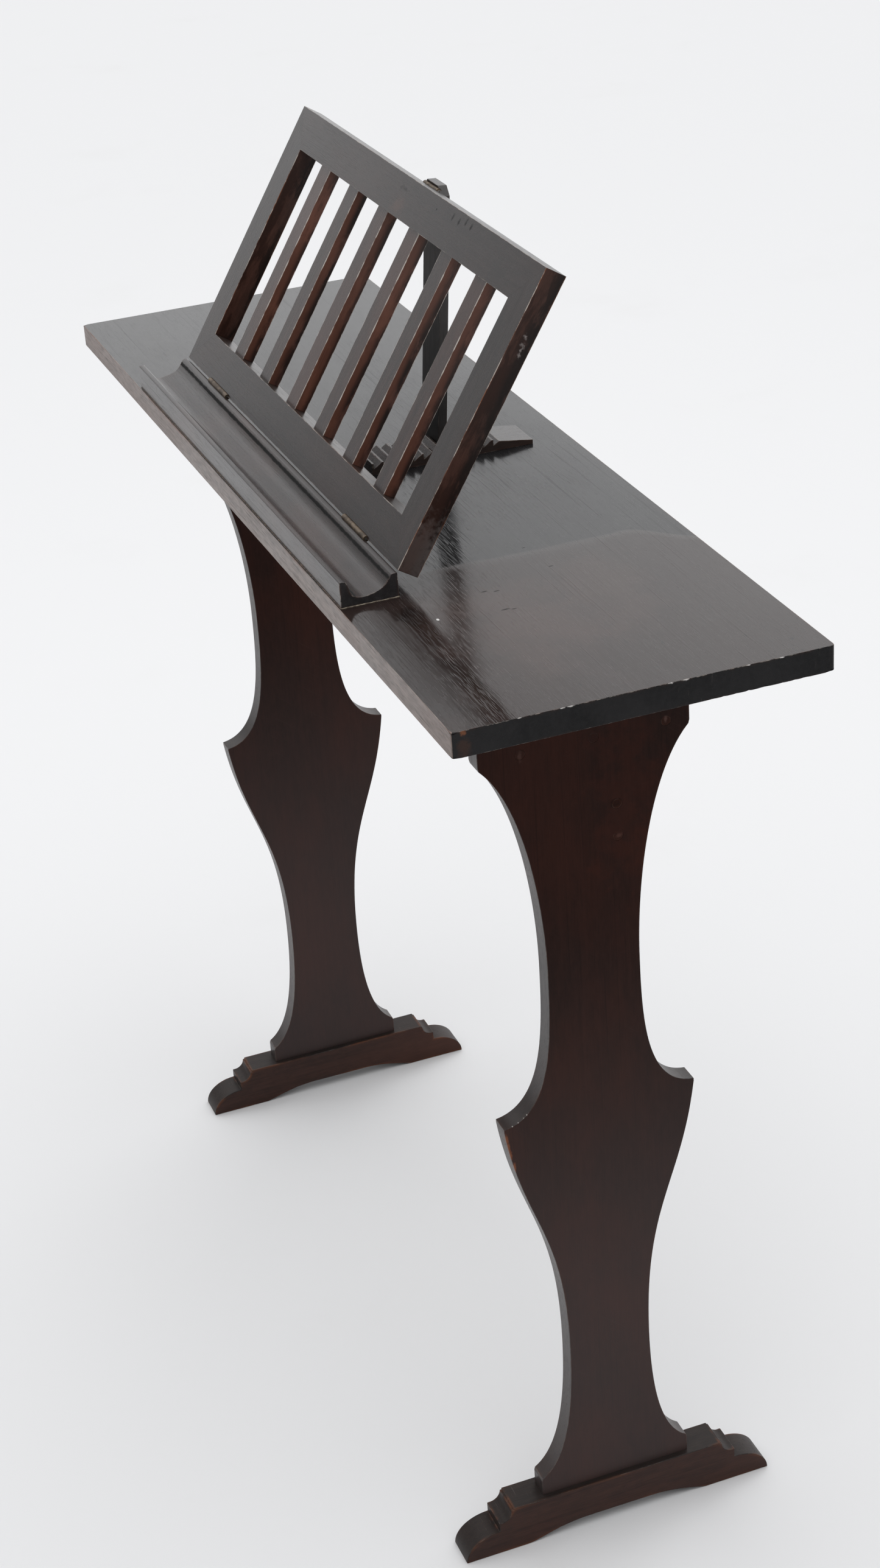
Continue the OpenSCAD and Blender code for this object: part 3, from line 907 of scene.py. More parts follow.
    def _cap_points(self, edge: np.ndarray) -> np.ndarray:
        """Points inside an end: rings near the arrises and an even spread between.

        Args:
            edge: The end's own outline.

        Returns:
            The points, n by 2.
        """
        normals = self._normals()
        start, end = self.dense, np.roll(self.dense, -1, 0)
        kept = []
        for ring in self.rings:
            points = self.dense - normals * ring
            points = points[inside(points, edge)]
            if len(points):
                kept.append(points[segment_distance(points, start, end) > 0.93 * ring])
        low, high = self.dense.min(0), self.dense.max(0)
        step = self.cell * 1.4
        us, vs = np.meshgrid(*(np.arange(low[k] + step / 2, high[k], step) for k in (0, 1)))
        us = us + (np.arange(us.shape[0]) % 2)[:, None] * step / 2
        spread = np.stack([us.ravel(), vs.ravel()], 1)
        spread = spread[inside(spread, edge)]
        if len(spread):
            kept.append(spread[segment_distance(spread, start, end) > self.rings[-1] + 0.3 * step])
        return np.concatenate(kept) if kept else np.zeros((0, 2))

    def rim(self, points: np.ndarray) -> np.ndarray:
        """Distance of points from the nearest arris.

        Args:
            points: Points in the board's frame, n by 3.

        Returns:
            n distances.
        """
        start, end = self.outline[~self.glued], np.roll(self.outline, -1, 0)[~self.glued]
        side = segment_distance(points[:, :2], start, end)
        end_on = np.minimum(np.abs(points[:, 2]), np.abs(self.depth - points[:, 2]))
        along = np.full(len(points), np.inf)
        for corner in self.corners:
            along = np.minimum(along, np.hypot(*(points[:, :2] - corner).T))
        return np.minimum(np.hypot(side, end_on), along)

    def build(self) -> Piece:
        """Makes the board's mesh.

        Returns:
            The object, at the scene's origin with its place in its mesh.
        """
        dense, normals = self.dense, self._normals()
        count = len(dense)
        rows: list[np.ndarray] = []
        for near in (True, False):
            soft = self._softness(not near)[:, None]
            group = []
            for inset, down in ((1.0, 0.0), (ARRIS_ROUND, ARRIS_ROUND), (0.0, 1.0)):
                flat = dense - normals * soft * inset
                level = soft[:, 0] * down
                group.append(np.column_stack([flat, level if near else self.depth - level]))
            if near:
                rows += group
                rows += [np.column_stack([dense, np.full(count, z)]) for z in self._stations()]
            else:
                rows += group[::-1]
        points = np.concatenate(rows)
        faces: list[tuple[int, ...]] = []
        for row in range(len(rows) - 1):
            a, b = row * count, (row + 1) * count
            faces += [(a + i, a + (i + 1) % count, b + (i + 1) % count, b + i) for i in range(count)]
        side_faces = len(faces)
        for first, level in ((0, 0.0), ((len(rows) - 1) * count, self.depth)):
            edge = points[first:first + count, :2]
            inner = self._cap_points(edge)
            flat = [Vector(p) for p in np.concatenate([edge, inner])]
            verts, _, tris, source, _, _ = geometry.delaunay_2d_cdt(flat, [], [list(range(count))], 1, 1e-9)
            base = len(points)
            extra, index = [], {}
            for k, vert in enumerate(verts):
                own = [s for s in source[k] if s < count]
                if own:
                    index[k] = first + own[0]
                else:
                    index[k] = base + len(extra)
                    extra.append((vert.x, vert.y, level))
            if extra:
                points = np.concatenate([points, np.array(extra)])
            faces += [tuple(index[k] for k in tri) for tri in tris]
        return self._object(points, faces, side_faces)

    def _object(self, points: np.ndarray, faces: list[tuple[int, ...]], side_faces: int) -> Piece:
        """Turns points and faces in the board's frame into an object.

        Args:
            points: Points in the board's frame.
            faces: Corner numbers of the faces, the sides' first.
            side_faces: How many faces are sides.

        Returns:
            The object.
        """
        mesh = bpy.data.meshes.new(self.name)
        mesh.from_pydata([tuple(p) for p in points], [], faces)
        slots = np.full(len(faces), Side.FACE.value, np.int32)
        for k in range(side_faces):
            way = mesh.polygons[k].normal
            slots[k] = Side.FLANK.value if abs(way.x) > abs(way.y) else Side.EDGE.value
        mesh.polygons.foreach_set("material_index", slots)
        shape = bmesh.new()
        shape.from_mesh(mesh)
        bmesh.ops.recalc_face_normals(shape, faces=shape.faces)
        shape.to_mesh(mesh)
        shape.free()
        made = bpy.data.objects.new(self.name, mesh)
        bpy.context.scene.collection.objects.link(made)
        return made

    def settle(self, made: Piece, face: StainedWood, edge: StainedWood | None = None,
               flank: StainedWood | None = None) -> Piece:
        """Writes the wear attributes, places the mesh and gives it its finishes.

        Args:
            made: The board's object, its mesh in the board's frame.
            face: Finish of the two ends of the outline.
            edge: Finish of the sides that face V, the face's own if there is none.
            flank: Finish of the sides that face U, the edge's own if there is none.

        Returns:
            The same object.
        """
        mesh = made.data
        slots = np.zeros(len(mesh.polygons), np.int32)
        mesh.polygons.foreach_get("material_index", slots)
        flat = np.empty(len(mesh.vertices) * 3)
        mesh.vertices.foreach_get("co", flat)
        points = flat.reshape(-1, 3)
        mesh.attributes.new("rim", "FLOAT", "POINT").data.foreach_set(
            "value", self.rim(points).astype(np.float32))
        order = {Axis.U: (0, 1, 2), Axis.V: (1, 0, 2), Axis.W: (2, 0, 1)}[self.grain]
        seed = sum(ord(c) * (i + 3) for i, c in enumerate(self.name)) % 89
        local = points[:, order] + np.array([seed * 0.37, seed * 0.11, seed * 0.23])
        mesh.attributes.new("grain", "FLOAT_VECTOR", "POINT").data.foreach_set(
            "vector", local.astype(np.float32).ravel())
        mesh.attributes.new("depth", "FLOAT", "POINT").data.foreach_set(
            "value", (points[:, 2] / self.depth).astype(np.float32))
        mesh.transform(self.place)
        mesh.materials.clear()
        for finish in (face, edge or face, flank or edge or face):
            mesh.materials.append(dressed(finish))
        mesh.polygons.foreach_set("material_index", slots)
        mesh.shade_smooth()
        mesh.set_sharp_from_angle(angle=math.radians(SMOOTH_ANGLE))
        return made


def carve(made: Piece, tools: Sequence[Piece]) -> None:
    """Cuts tools out of an object and removes them.

    Args:
        made: The object that is cut.
        tools: Closed meshes.
    """
    for tool in tools:
        cut = made.modifiers.new("cut", "BOOLEAN")
        cut.operation = "DIFFERENCE"
        cut.solver = "EXACT"
        cut.object = tool
    depsgraph = bpy.context.evaluated_depsgraph_get()
    old = made.data
    made.data = bpy.data.meshes.new_from_object(made.evaluated_get(depsgraph))
    made.modifiers.clear()
    bpy.data.meshes.remove(old)
    for tool in tools:
        mesh = tool.data
        bpy.data.objects.remove(tool)
        bpy.data.meshes.remove(mesh)


def tool_from(shape: bmesh.types.BMesh, place: Matrix) -> Piece:
    """Turns a shape into a cutting tool.

    Args:
        shape: The shape, which is freed.
        place: Where it stands.

    Returns:
        The tool's object.
    """
    mesh = bpy.data.meshes.new("tool")
    shape.to_mesh(mesh)
    shape.free()
    mesh.transform(place)
    tool = bpy.data.objects.new("tool", mesh)
    bpy.context.scene.collection.objects.link(tool)
    return tool


def box_tool(low: Sequence[float], high: Sequence[float], place: Matrix = Matrix()) -> Piece:
    """A box tool between two corners.

    Args:
        low: Lowest corner.
        high: Highest corner.
        place: Frame that they are given in.

    Returns:
        The tool's object.
    """
    shape = bmesh.new()
    bmesh.ops.create_cube(shape, size=1)
    low_corner, high_corner = Vector(low), Vector(high)
    span = Matrix.Diagonal((*(high_corner - low_corner), 1))
    middle = Matrix.Translation((low_corner + high_corner) / 2)
    bmesh.ops.transform(shape, matrix=middle @ span, verts=shape.verts)
    return tool_from(shape, place)


def rod_tool(start: Sequence[float], end: Sequence[float], radius: float, place: Matrix = Matrix()) -> Piece:
    """A round tool between two points.

    Args:
        start: Middle of one end.
        end: Middle of the other.
        radius: Its radius.
        place: Frame that they are given in.

    Returns:
        The tool's object.
    """
    first, last = Vector(start), Vector(end)
    shape = bmesh.new()
    length = (last - first).length
    bmesh.ops.create_cone(shape, cap_ends=True, segments=40, radius1=radius, radius2=radius, depth=length)
    turn = (last - first).to_track_quat("Z", "Y").to_matrix().to_4x4()
    bmesh.ops.transform(shape, matrix=Matrix.Translation((first + last) / 2) @ turn, verts=shape.verts)
    return tool_from(shape, place)


PALE_SCRATCH = (0.30, 0.27, 0.26)
NICK_WHITE = (0.62, 0.60, 0.58)
# Near black, for dark smudges and dents, and also for painted shade and a painted darker reflection on the top.
SMUDGE_AND_SHADE = (0.006, 0.0052, 0.005)
EVEN = (1.0, 1.0, 1.0)
WAX_Z = 1.045
TOP_FACE = DeskTopWood(
    "top_face", deep=(0.0076, 0.0079, 0.0086), light=(0.0160, 0.0158, 0.0164), redness=0.05, roughness=0.165,
    clouding=0.34, pores=0.45, lines=0.5, relief=0.065, scratches=0.10, chalk_and_highlight_amount=0.15, bare_wear=0.35,
    bare_reach=1.6, blemishes=(
        # Dark halo beside the ledge's right end: painted contact shadow over a real stain.
        Blemish((0.376, -0.126, WAX_Z), 0.0230, SMUDGE_AND_SHADE, 0.6, -0.04, (0.7, 1.3, 1.0), 0.7, 110),
        # Broad dark patch toward the top's near right corner: painted darker reflection.
        Blemish((0.470, -0.160, WAX_Z), 0.1000, SMUDGE_AND_SHADE, 0.4, -0.05, (0.6, 2.2, 1.0), 0.5, 25),
        Blemish((0.392, -0.1077, WAX_Z), 0.0017, (0.75, 0.74, 0.72), 1.0, 0.3, (0.6, 1.0, 1.0), 0.2, 900),
        Blemish((0.430, -0.035, WAX_Z), 0.095, (0.058, 0.034, 0.028), 0.55, 0.02, (0.6, 1.0, 1.0), 1.0, 14),
        Blemish((0.395, 0.060, WAX_Z), 0.060, (0.055, 0.033, 0.027), 0.45, 0.02, (0.5, 1.2, 1.0), 1.0, 18),
        Blemish((-0.014, 0.060, WAX_Z), 0.150, (0.013, 0.0130, 0.0138), 0.6, 0.20, (0.42, 1.1, 1.0), 0.3, 9),
        *blemishes(((0.355, -0.0476, WAX_Z, 0.0014), (0.3592, -0.0371, WAX_Z, 0.0013),
                    (0.401, -0.0451, WAX_Z, 0.0018), (0.4035, -0.0375, WAX_Z, 0.0012),
                    (0.278, 0.024, WAX_Z, 0.0010), (0.331, 0.030, WAX_Z, 0.0011)),
                   SMUDGE_AND_SHADE, 0.9, 0.5, (1.0, 0.35, 1.0), 0.4, 400)))
TOP_EDGE = StainedWood(
    "top_edge", deep=(0.085, 0.068, 0.061), light=(0.290, 0.234, 0.210), redness=0.35, red=(0.130, 0.062, 0.040),
    roughness=0.38, bare_wear=0.7, bare_reach=2.0, chalk_and_highlight_amount=0.3)
TOP_END = StainedWood(
    "top_end", deep=(0.0020, 0.0020, 0.0023), light=(0.0130, 0.0123, 0.0130), redness=0.7,
    red=(0.019, 0.0178, 0.0185), roughness=0.28, clouding=0.3, specular=0.14, bare_wear=0.05, chalk_and_highlight_amount=0.35,
    blemishes=(
        *blemishes(((0.610, 0.128, WAX_Z, 0.0011), (0.610, 0.096, WAX_Z, 0.0009), (0.610, 0.036, WAX_Z, 0.0014),
                    (0.610, 0.022, WAX_Z, 0.0012), (0.610, -0.071, WAX_Z, 0.0013), (0.610, -0.079, WAX_Z, 0.0010),
                    (0.610, -0.118, WAX_Z, 0.0009)), NICK_WHITE, 0.9, 0.2, (1.0, 0.35, 1.0), 0.9, 500),
        Blemish((0.610, -0.1690, 1.0430), 0.0035, (0.19, 0.070, 0.030), 0.8, 0.1, EVEN, 0.8, 300),
        Blemish((0.610, -0.1690, 1.0290), 0.0085, (0.045, 0.022, 0.015), 0.7, 0.1, (1.0, 1.0, 0.7), 0.8, 150)))
SCREW_MARKS_AND_HOLE_SHADE = (
    # Near-black oval on the second plug: painted shade of a hole; the other marks are the wood's own smears and
    # tint.
    Blemish((0.466, 0.0292, 0.8572), 0.0070, (0.0015, 0.0012, 0.0012), 1.0, 0.1, (1.0, 0.9, 1.1), 0.4, 220),
    Blemish((0.466, 0.0310, 0.8222), 0.0032, (0.085, 0.040, 0.032), 0.7, 0.1, (1.0, 0.7, 1.0), 0.7, 320),
    Blemish((0.466, -0.0645, 0.9285), 0.0036, (0.075, 0.038, 0.031), 0.6, 0.1, (1.0, 1.3, 0.5), 0.8, 260),
    Blemish((0.466, 0.0816, 0.9322), 0.0028, (0.110, 0.062, 0.052), 0.6, 0.1, (1.0, 1.2, 0.6), 0.8, 320),
    Blemish((0.466, 0.0420, 0.8700), 0.0650, (0.058, 0.0135, 0.0070), 0.30, 0.0, (1.0, 1.3, 0.5), 1.6, 40))
WING_MARKS = (
    *blemishes(((0.466, -0.1003, 0.515, 0.0024), (0.466, -0.0986, 0.505, 0.0024), (0.466, -0.0967, 0.495, 0.0024),
                (0.466, -0.0935, 0.480, 0.0024)), (0.20, 0.062, 0.022), 0.8, 0.1, (0.6, 1.0, 0.3), 0.7, 260),
    *blemishes(((0.466, -0.0775, 0.5378, 0.0009), (0.466, -0.0810, 0.5352, 0.0009),
                (0.466, -0.0870, 0.5315, 0.0009), (0.466, -0.0930, 0.5290, 0.0009)),
               (0.62, 0.58, 0.54), 0.9, 0.3, (0.6, 1.0, 1.0), 0.8, 700))
# The legs and feet are painted a little lighter towards the floor: painted sheen.
LEG_FACE = StainedWood(
    "leg_face", deep=(0.0150, 0.0062, 0.0046), light=(0.0255, 0.0100, 0.0074), red=(0.050, 0.0130, 0.0070),
    redness=0.45, roughness=0.34, specular=0.06, pores=0.3, scratches=0.06, chalk_and_highlight_amount=0.06, bare_wear=0.08,
    low_sheen=0.1, relief=0.04, blemishes=SCREW_MARKS_AND_HOLE_SHADE + WING_MARKS)
LEG_EDGE = StainedWood(
    "leg_edge", deep=(0.014, 0.010, 0.009), light=(0.032, 0.021, 0.018), redness=0.2, roughness=0.34,
    specular=0.38, chalk_and_highlight_amount=0.12, bare_wear=0.15, low_sheen=0.05, blemishes=WING_MARKS)
PLUG_WOOD = replace(LEG_FACE, name="plug_wood", deep=(0.0150, 0.0062, 0.0047), light=(0.0235, 0.0094, 0.0070),
                    redness=0.3, blemishes=SCREW_MARKS_AND_HOLE_SHADE)
FOOT_FACE = StainedWood(
    "foot_face", deep=(0.022, 0.0100, 0.0075), light=(0.050, 0.0210, 0.0145), red=(0.075, 0.0240, 0.0130),
    redness=0.45, roughness=0.36, specular=0.15, pores=0.3, chalk_and_highlight_amount=0.12, bare_wear=0.65, bare_reach=3.5,
    low_sheen=0.02)
FOOT_EDGE = StainedWood(
    "foot_edge", deep=(0.012, 0.0090, 0.0080), light=(0.026, 0.0180, 0.0150), redness=0.2, roughness=0.40,
    specular=0.16, chalk_and_highlight_amount=0.12, bare_wear=0.55, low_sheen=0.02)
LEDGE_WOOD = StainedWood(
    "ledge_wood", red=(0.070, 0.030, 0.021), redness=0.5, pores=0.35, chalk_and_highlight_amount=0.25, bare_wear=0.25,
    blemishes=(
        # Near-black lines along the hollow's two inner corners: painted crevice shade.
        Blemish((0.0, -0.1630, 1.0540), 0.0022, (0.003, 0.003, 0.003), 1.0, 0.6, (0.001, 1.0, 1.0), 0.5, 180),
        Blemish((0.0, -0.1296, 1.0655), 0.0018, (0.002, 0.002, 0.002), 1.0, 0.7, (0.001, 0.8, 0.7), 0.6, 180)))
LEDGE_END = StainedWood(
    "ledge_end", deep=(0.0220, 0.0210, 0.0220), light=(0.060, 0.0560, 0.0575), red=(0.075, 0.070, 0.070),
    redness=0.3, roughness=0.34, specular=0.2, bare_wear=0.1, chalk_and_highlight_amount=0.9, chalk_and_highlight_reach=0.3, patches=0.3)
RACK_FACE = StainedWood(
    "rack_face", light=(0.028, 0.0190, 0.0170), redness=0.3, roughness=0.25, pores=0.25, lines=0.15, relief=0.03,
    chalk_and_highlight_amount=0.5, chalk_and_highlight_reach=0.2, bare_wear=0.1, bare_reach=0.9, blemishes=(
        *blemishes(((0.108, 0.0362, 1.3232, 0.0030), (0.124, 0.0352, 1.3215, 0.0036),
                    (0.139, 0.0375, 1.3252, 0.0031), (0.153, 0.0370, 1.3243, 0.0034)),
                   SMUDGE_AND_SHADE, 0.95, 0.45, (1.3, 0.6, 0.6), 1.1, 260),
        Blemish((-0.022, 0.0341, 1.3198), 0.0040, SMUDGE_AND_SHADE, 0.7, 0.3, (0.28, 1.0, 1.0), 1.4, 170),
        Blemish((0.067, 0.0346, 1.3206), 0.0015, SMUDGE_AND_SHADE, 0.9, 0.4, EVEN, 0.5, 500),
        Blemish((-0.019, 0.0239, 1.3034), 0.0150, (0.075, 0.034, 0.024), 0.45, 0.05, (0.7, 1.0, 1.0), 1.2, 70),
        Blemish((0.245, 0.0250, 1.3060), 0.0200, SMUDGE_AND_SHADE, 0.4, 0.12, (0.7, 1.0, 1.0), 1.2, 50)))
RACK_EDGE = StainedWood("rack_edge", light=(0.030, 0.020, 0.017), redness=0.3, roughness=0.3, chalk_and_highlight_amount=0.5)
RACK_FLANK = StainedWood(
    "rack_flank", deep=(0.0220, 0.0130, 0.0108), light=(0.0840, 0.0400, 0.0300), red=(0.120, 0.0440, 0.0270),
    bare=(0.24, 0.080, 0.030), redness=0.6, roughness=0.32, specular=0.18, pores=0.3, lines=0.2, chalk_and_highlight_amount=1.0,
    chalk_and_highlight_reach=0.2, bare_wear=0.7, bare_reach=1.1, patches=0.85, glow=0.35, blemishes=(
        *blemishes(((0.326, 0.0177, 1.2707, 0.0030), (0.326, 0.0143, 1.2627, 0.0033),
                    (0.326, 0.0120, 1.2585, 0.0020), (0.326, 0.0103, 1.2543, 0.0029)),
                   PALE_SCRATCH, 0.8, 0.2, (1.0, 1.3, 0.8), 1.5, 380),
        Blemish((0.326, -0.1020, 1.0850), 0.0420, (0.120, 0.100, 0.094), 0.85, 0.05, (1.0, 1.0, 0.8), 1.0, 160)))
# Pale colour of the slats' arris line: wear, and a painted highlight where the arris catches light.
SLAT_CHALK_AND_HIGHLIGHT = (0.62, 0.56, 0.51)
SLAT_FACE = replace(
    RACK_FACE, name="slat_face", light=(0.044, 0.0245, 0.0205), red=(0.060, 0.0240, 0.0170), chalk_and_highlight=SLAT_CHALK_AND_HIGHLIGHT,
    chalk_and_highlight_amount=1.0, chalk_and_highlight_reach=0.34, redness=0.6, blemishes=())
SLAT_FLANK = replace(
    RACK_FLANK, name="slat_flank", specular=0.32, deep=(0.0300, 0.0160, 0.0130), light=(0.1350, 0.0600, 0.0440),
    red=(0.180, 0.0700, 0.0450), glow=0.6, glow_color=(0.190, 0.0720, 0.0450), chalk_and_highlight=SLAT_CHALK_AND_HIGHLIGHT, chalk_and_highlight_reach=0.34,
    bare_wear=0.4, blemishes=())
STRUT_SIDE = StainedWood(
    "strut_side", deep=(0.019, 0.0180, 0.0180), light=(0.040, 0.0360, 0.0350), redness=0.1, roughness=0.32,
    chalk_and_highlight_amount=0.15, bare_wear=0.05)
STRUT_WOOD = StainedWood(
    "strut_wood", deep=(0.006, 0.0055, 0.0056), light=(0.012, 0.0105, 0.0102), redness=0.1, roughness=0.34,
    specular=0.2, chalk_and_highlight_amount=0.15, bare_wear=0.08)
RATCHET_WOOD = StainedWood("ratchet_wood", redness=0.1, roughness=0.25, pores=0.25, chalk_and_highlight_amount=0.3, bare_wear=0.1)
RATCHET_SIDE = StainedWood(
    "ratchet_side", deep=(0.020, 0.0160, 0.0145), light=(0.058, 0.0450, 0.0400), redness=0.3, roughness=0.36,
    specular=0.3, chalk_and_highlight_amount=0.45, bare_wear=0.15)
HIDDEN_WOOD = StainedWood(
    "under_wood", deep=(0.016, 0.008, 0.006), light=(0.04, 0.018, 0.012), redness=0.5, roughness=0.5,
    specular=0.25, chalk_and_highlight_amount=0.1, bare_wear=0.2)
BRASS = DullMetal("aged_brass", (0.060, 0.042, 0.028), (0.150, 0.108, 0.070), 0.46, 0.6)
STEEL = DullMetal("aged_steel", (0.05, 0.045, 0.042), (0.24, 0.23, 0.22), 0.4, 0.85)
GLUE = OldGlue("old_glue", (0.34, 0.29, 0.22), (0.10, 0.075, 0.055))
OLD_GRIME = OldGlue("old_grime", (0.16, 0.105, 0.070), (0.05, 0.034, 0.025))


def show(made: Piece, body: str, slot: str, *nodes: str) -> Piece:
    """Puts a finished piece on its body, hides the nodes that it stands for and logs its faces.

    Args:
        made: The piece.
        body: Name of the CAD body it rides on.
        slot: Material slot of the record; not used.
        *nodes: CAD nodes that it replaces.

    Returns:
        The piece.
    """
    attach(made, body)
    if nodes:
        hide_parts(*nodes)
    LOG.info("%s: %d faces on %s", made.name, len(made.data.polygons), body)
    return made


@dataclass
class TableTop:
    """The narrow top, one board with its grain along the desk.

    A chip of its right end's lower arris is its Y in metres, then its reach and width in millimetres.
    """

    length: float
    depth: float
    thickness: float
    height: float
    corner_radii: tuple[tuple[tuple[int, int], float], ...] = (
        ((-1, -1), 2 * MM), ((1, -1), 2 * MM), ((1, 1), 4 * MM), ((-1, 1), 3 * MM))
    chips: tuple[tuple[float, float, float], ...] = (
        (0.096, 2.6, 1.3), (0.128, 1.6, 0.5), (0.061, 3.0, 0.5), (0.034, 1.8, 0.7), (-0.02, 2.2, 0.4),
        (-0.071, 3.0, 0.5), (-0.118, 2.0, 0.5), (0.150, 4.0, 0.8), (0.141, 2.0, 0.8), (0.110, 5.0, 0.8),
        (0.084, 3.0, 0.7), (0.072, 2.0, 0.9))

    @classmethod
    def from_frame(cls) -> "TableTop":
        """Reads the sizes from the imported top."""
        low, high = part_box("table_top")
        return cls(high.x - low.x, high.y - low.y, high.z - low.z, high.z)

    def build(self) -> None:
        """Makes the top."""
        half, side = self.length / 2, self.depth / 2
        outline: list[Point] = []
        for (sx, sy), radius in self.corner_radii:
            turn = {(-1, -1): 180, (1, -1): 270, (1, 1): 0, (-1, 1): 90}[(sx, sy)]
            outline += arc((sx * (half - radius), sy * (side - radius)), radius, radius, turn, turn + 90, 8)
        wear = [Wear((half, y), reach * MM, deep * MM, far=False) for y, reach, deep in self.chips]
        wear += [Wear((half, side), 9 * MM, 2.2 * MM, far=False), Wear((half, -side), 6 * MM, 1.2 * MM),
                 Wear((half, -side), 7 * MM, 1.5 * MM, far=False), Wear((-half, -side), 6 * MM, 1.5 * MM)]
        place = Matrix.Translation((0, 0, self.height - self.thickness))
        board = Board("desk_top_board", outline, self.thickness, place, Axis.U, arris=0.6 * MM, nicks=0.15,
                      spacing=3 * MM, wear=tuple(wear))
        show(board.settle(board.build(), TOP_FACE, TOP_EDGE, TOP_END), "stand", "top_wood", "table_top")


@dataclass
class Leg:
    """A shaped board leg with wing points and two necks."""

    side: int
    inner: float
    outer: float
    foot_height: float
    under: float
    head_half: float = 106 * MM
    head_drop: float = 96 * MM
    neck_half: float = 48 * MM
    neck_z: float = 690 * MM
    wing_half: float = 102 * MM
    wing_z: float = 524 * MM
    lower_half: float = 44.5 * MM
    lower_z: float = 235 * MM
    base_half: float = 84 * MM
    base_rise: float = 21 * MM
    plug_radius: float = 5 * MM
    plug_depth: float = 7 * MM
    plug_play: float = 0.08 * MM
    plug_sunk: float = 0.1 * MM
    plug_places: tuple[Point, ...] = (
        (0.030, 0.822), (0.030, 0.856), (-0.064, 0.930), (0.009, 0.930), (0.082, 0.930))

    @classmethod
    def from_frame(cls, side: int) -> "Leg":
        """Reads the leg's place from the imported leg.

        Args:
            side: -1 for the left leg and 1 for the right.

        Returns:
            The leg.
        """
        low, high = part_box("right_leg")
        return cls(side, low.x, high.x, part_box("right_foot")[1].z, high.z)

    def outline(self) -> list[Point]:
        """The leg's outline in Y and Z.

        Returns:
            Its points.
        """
        base_top, head_z = self.foot_height + self.base_rise, self.under - self.head_drop
        lower, neck = (self.lower_half, self.lower_z), (self.neck_half, self.neck_z)
        half = [(self.base_half, self.foot_height), (self.base_half, base_top - 3 * MM)]
        half += curve((self.base_half - 1 * MM, base_top), lower, (0.74, 0.11), (0, 0.52))
        half += curve(lower, (self.wing_half, self.wing_z), (0, 0.54), (0.28, 0.41))
        half += curve((self.wing_half, self.wing_z + 3 * MM), neck, (0.95, 0.035), (0, 0.485))
        half += curve(neck, (self.head_half - 1 * MM, head_z - 2 * MM), (0, 0.35), (0.7, 0.175))
        half += [(self.head_half, head_z + 2 * MM), (self.head_half, self.under)]
        return mirrored(half)

    def build(self) -> None:
        """Makes the leg with the seats of its plugs."""
        name = "right" if self.side > 0 else "left"
        start = self.inner if self.side > 0 else -self.outer
        board = Board(name + "_leg_board", self.outline(), self.outer - self.inner, upright(start), Axis.V,
                      arris=0.5 * MM, nicks=0.25, joints=((0.0, self.foot_height), (0.0, self.under)))
        made = board.build()
        to_board = upright(start).inverted()
        face = self.side * self.outer
        seats = [rod_tool((face - self.side * self.plug_depth, y, z), (face + self.side * MM, y, z),
                          self.plug_radius + self.plug_play, to_board) for y, z in self.plug_places]
        carve(made, seats)
        show(board.settle(made, LEG_FACE, LEG_EDGE), "stand", "frame_wood", name + "_leg")
        for number, spot in enumerate(self.plug_places, 1):
            self.build_plug(f"{name}_plug_{number}", spot)

    def build_plug(self, name: str, spot: Point) -> None:
        """Makes one plug, its face just under the leg's.

        Args:
            name: Name of the piece.
            spot: Its middle in Y and Z.
        """
        circle = arc(spot, self.plug_radius, self.plug_radius, 0, 360, 36)[:-1]
        start = self.outer - self.plug_depth if self.side > 0 else -self.outer + self.plug_sunk
        board = Board(name, circle, self.plug_depth - self.plug_sunk, upright(start), Axis.U, arris=0.25 * MM,
                      nicks=0.3, spacing=2 * MM, rings=(0.8 * MM, 2 * MM))
        nodes = ("leg_plugs",) if name == "right_plug_1" else ()
        show(board.settle(board.build(), PLUG_WOOD), "stand", "plug_wood", *nodes)


@dataclass
class Foot:
    """A moulded foot with rounded toes and an arch under it."""

    side: int
    length: float
    width: float
    height: float
    middle: float
    toe_length: float = 39 * MM
    toe_height: float = 29 * MM
    cove: float = 12 * MM
    step: float = 2 * MM
    arch_half: float = 102 * MM
    arch_height: float = 12 * MM

    @classmethod
    def from_frame(cls, side: int) -> "Foot":
        """Reads the foot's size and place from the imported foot.

        Args:
            side: -1 for the left foot and 1 for the right.

        Returns:
            The foot.
        """
        low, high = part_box("right_foot")
        return cls(side, high.y - low.y, high.x - low.x, high.z, (low.x + high.x) / 2)

    def outline(self) -> list[Point]:
        """The foot's outline in Y and Z.

        Returns:
            Its points.
        """
        toe = (self.length / 2 - self.toe_length, self.toe_height)
        cove_top = self.height - self.step
        cove_in = toe[0] - 3 * MM
        crown = (0.35 * self.arch_half, self.arch_height)
        half = curve(crown, (self.arch_half, 0.0), (0.45, 0), (0.2, 0.25), 20)
        half += arc((toe[0], 0), self.toe_length, self.toe_height, 0, 90, 24)
        half += [(toe[0], cove_top - self.cove)]
        half += arc((cove_in, cove_top), self.cove, self.cove, 270, 180)
        half += [(cove_in - self.cove - 2 * MM, cove_top), (cove_in - self.cove - 2 * MM, self.height)]
        return mirrored(half)

    def build(self) -> None:
        """Makes the foot."""
        name = "right" if self.side > 0 else "left"
        board = Board(name + "_foot_block", self.outline(), self.width,
                      upright(self.side * self.middle - self.width / 2), Axis.U, arris=0.8 * MM, nicks=0.7,
                      cell=8 * MM, spacing=4 * MM)
        show(board.settle(board.build(), FOOT_FACE, FOOT_EDGE), "stand", "frame_wood", name + "_foot")


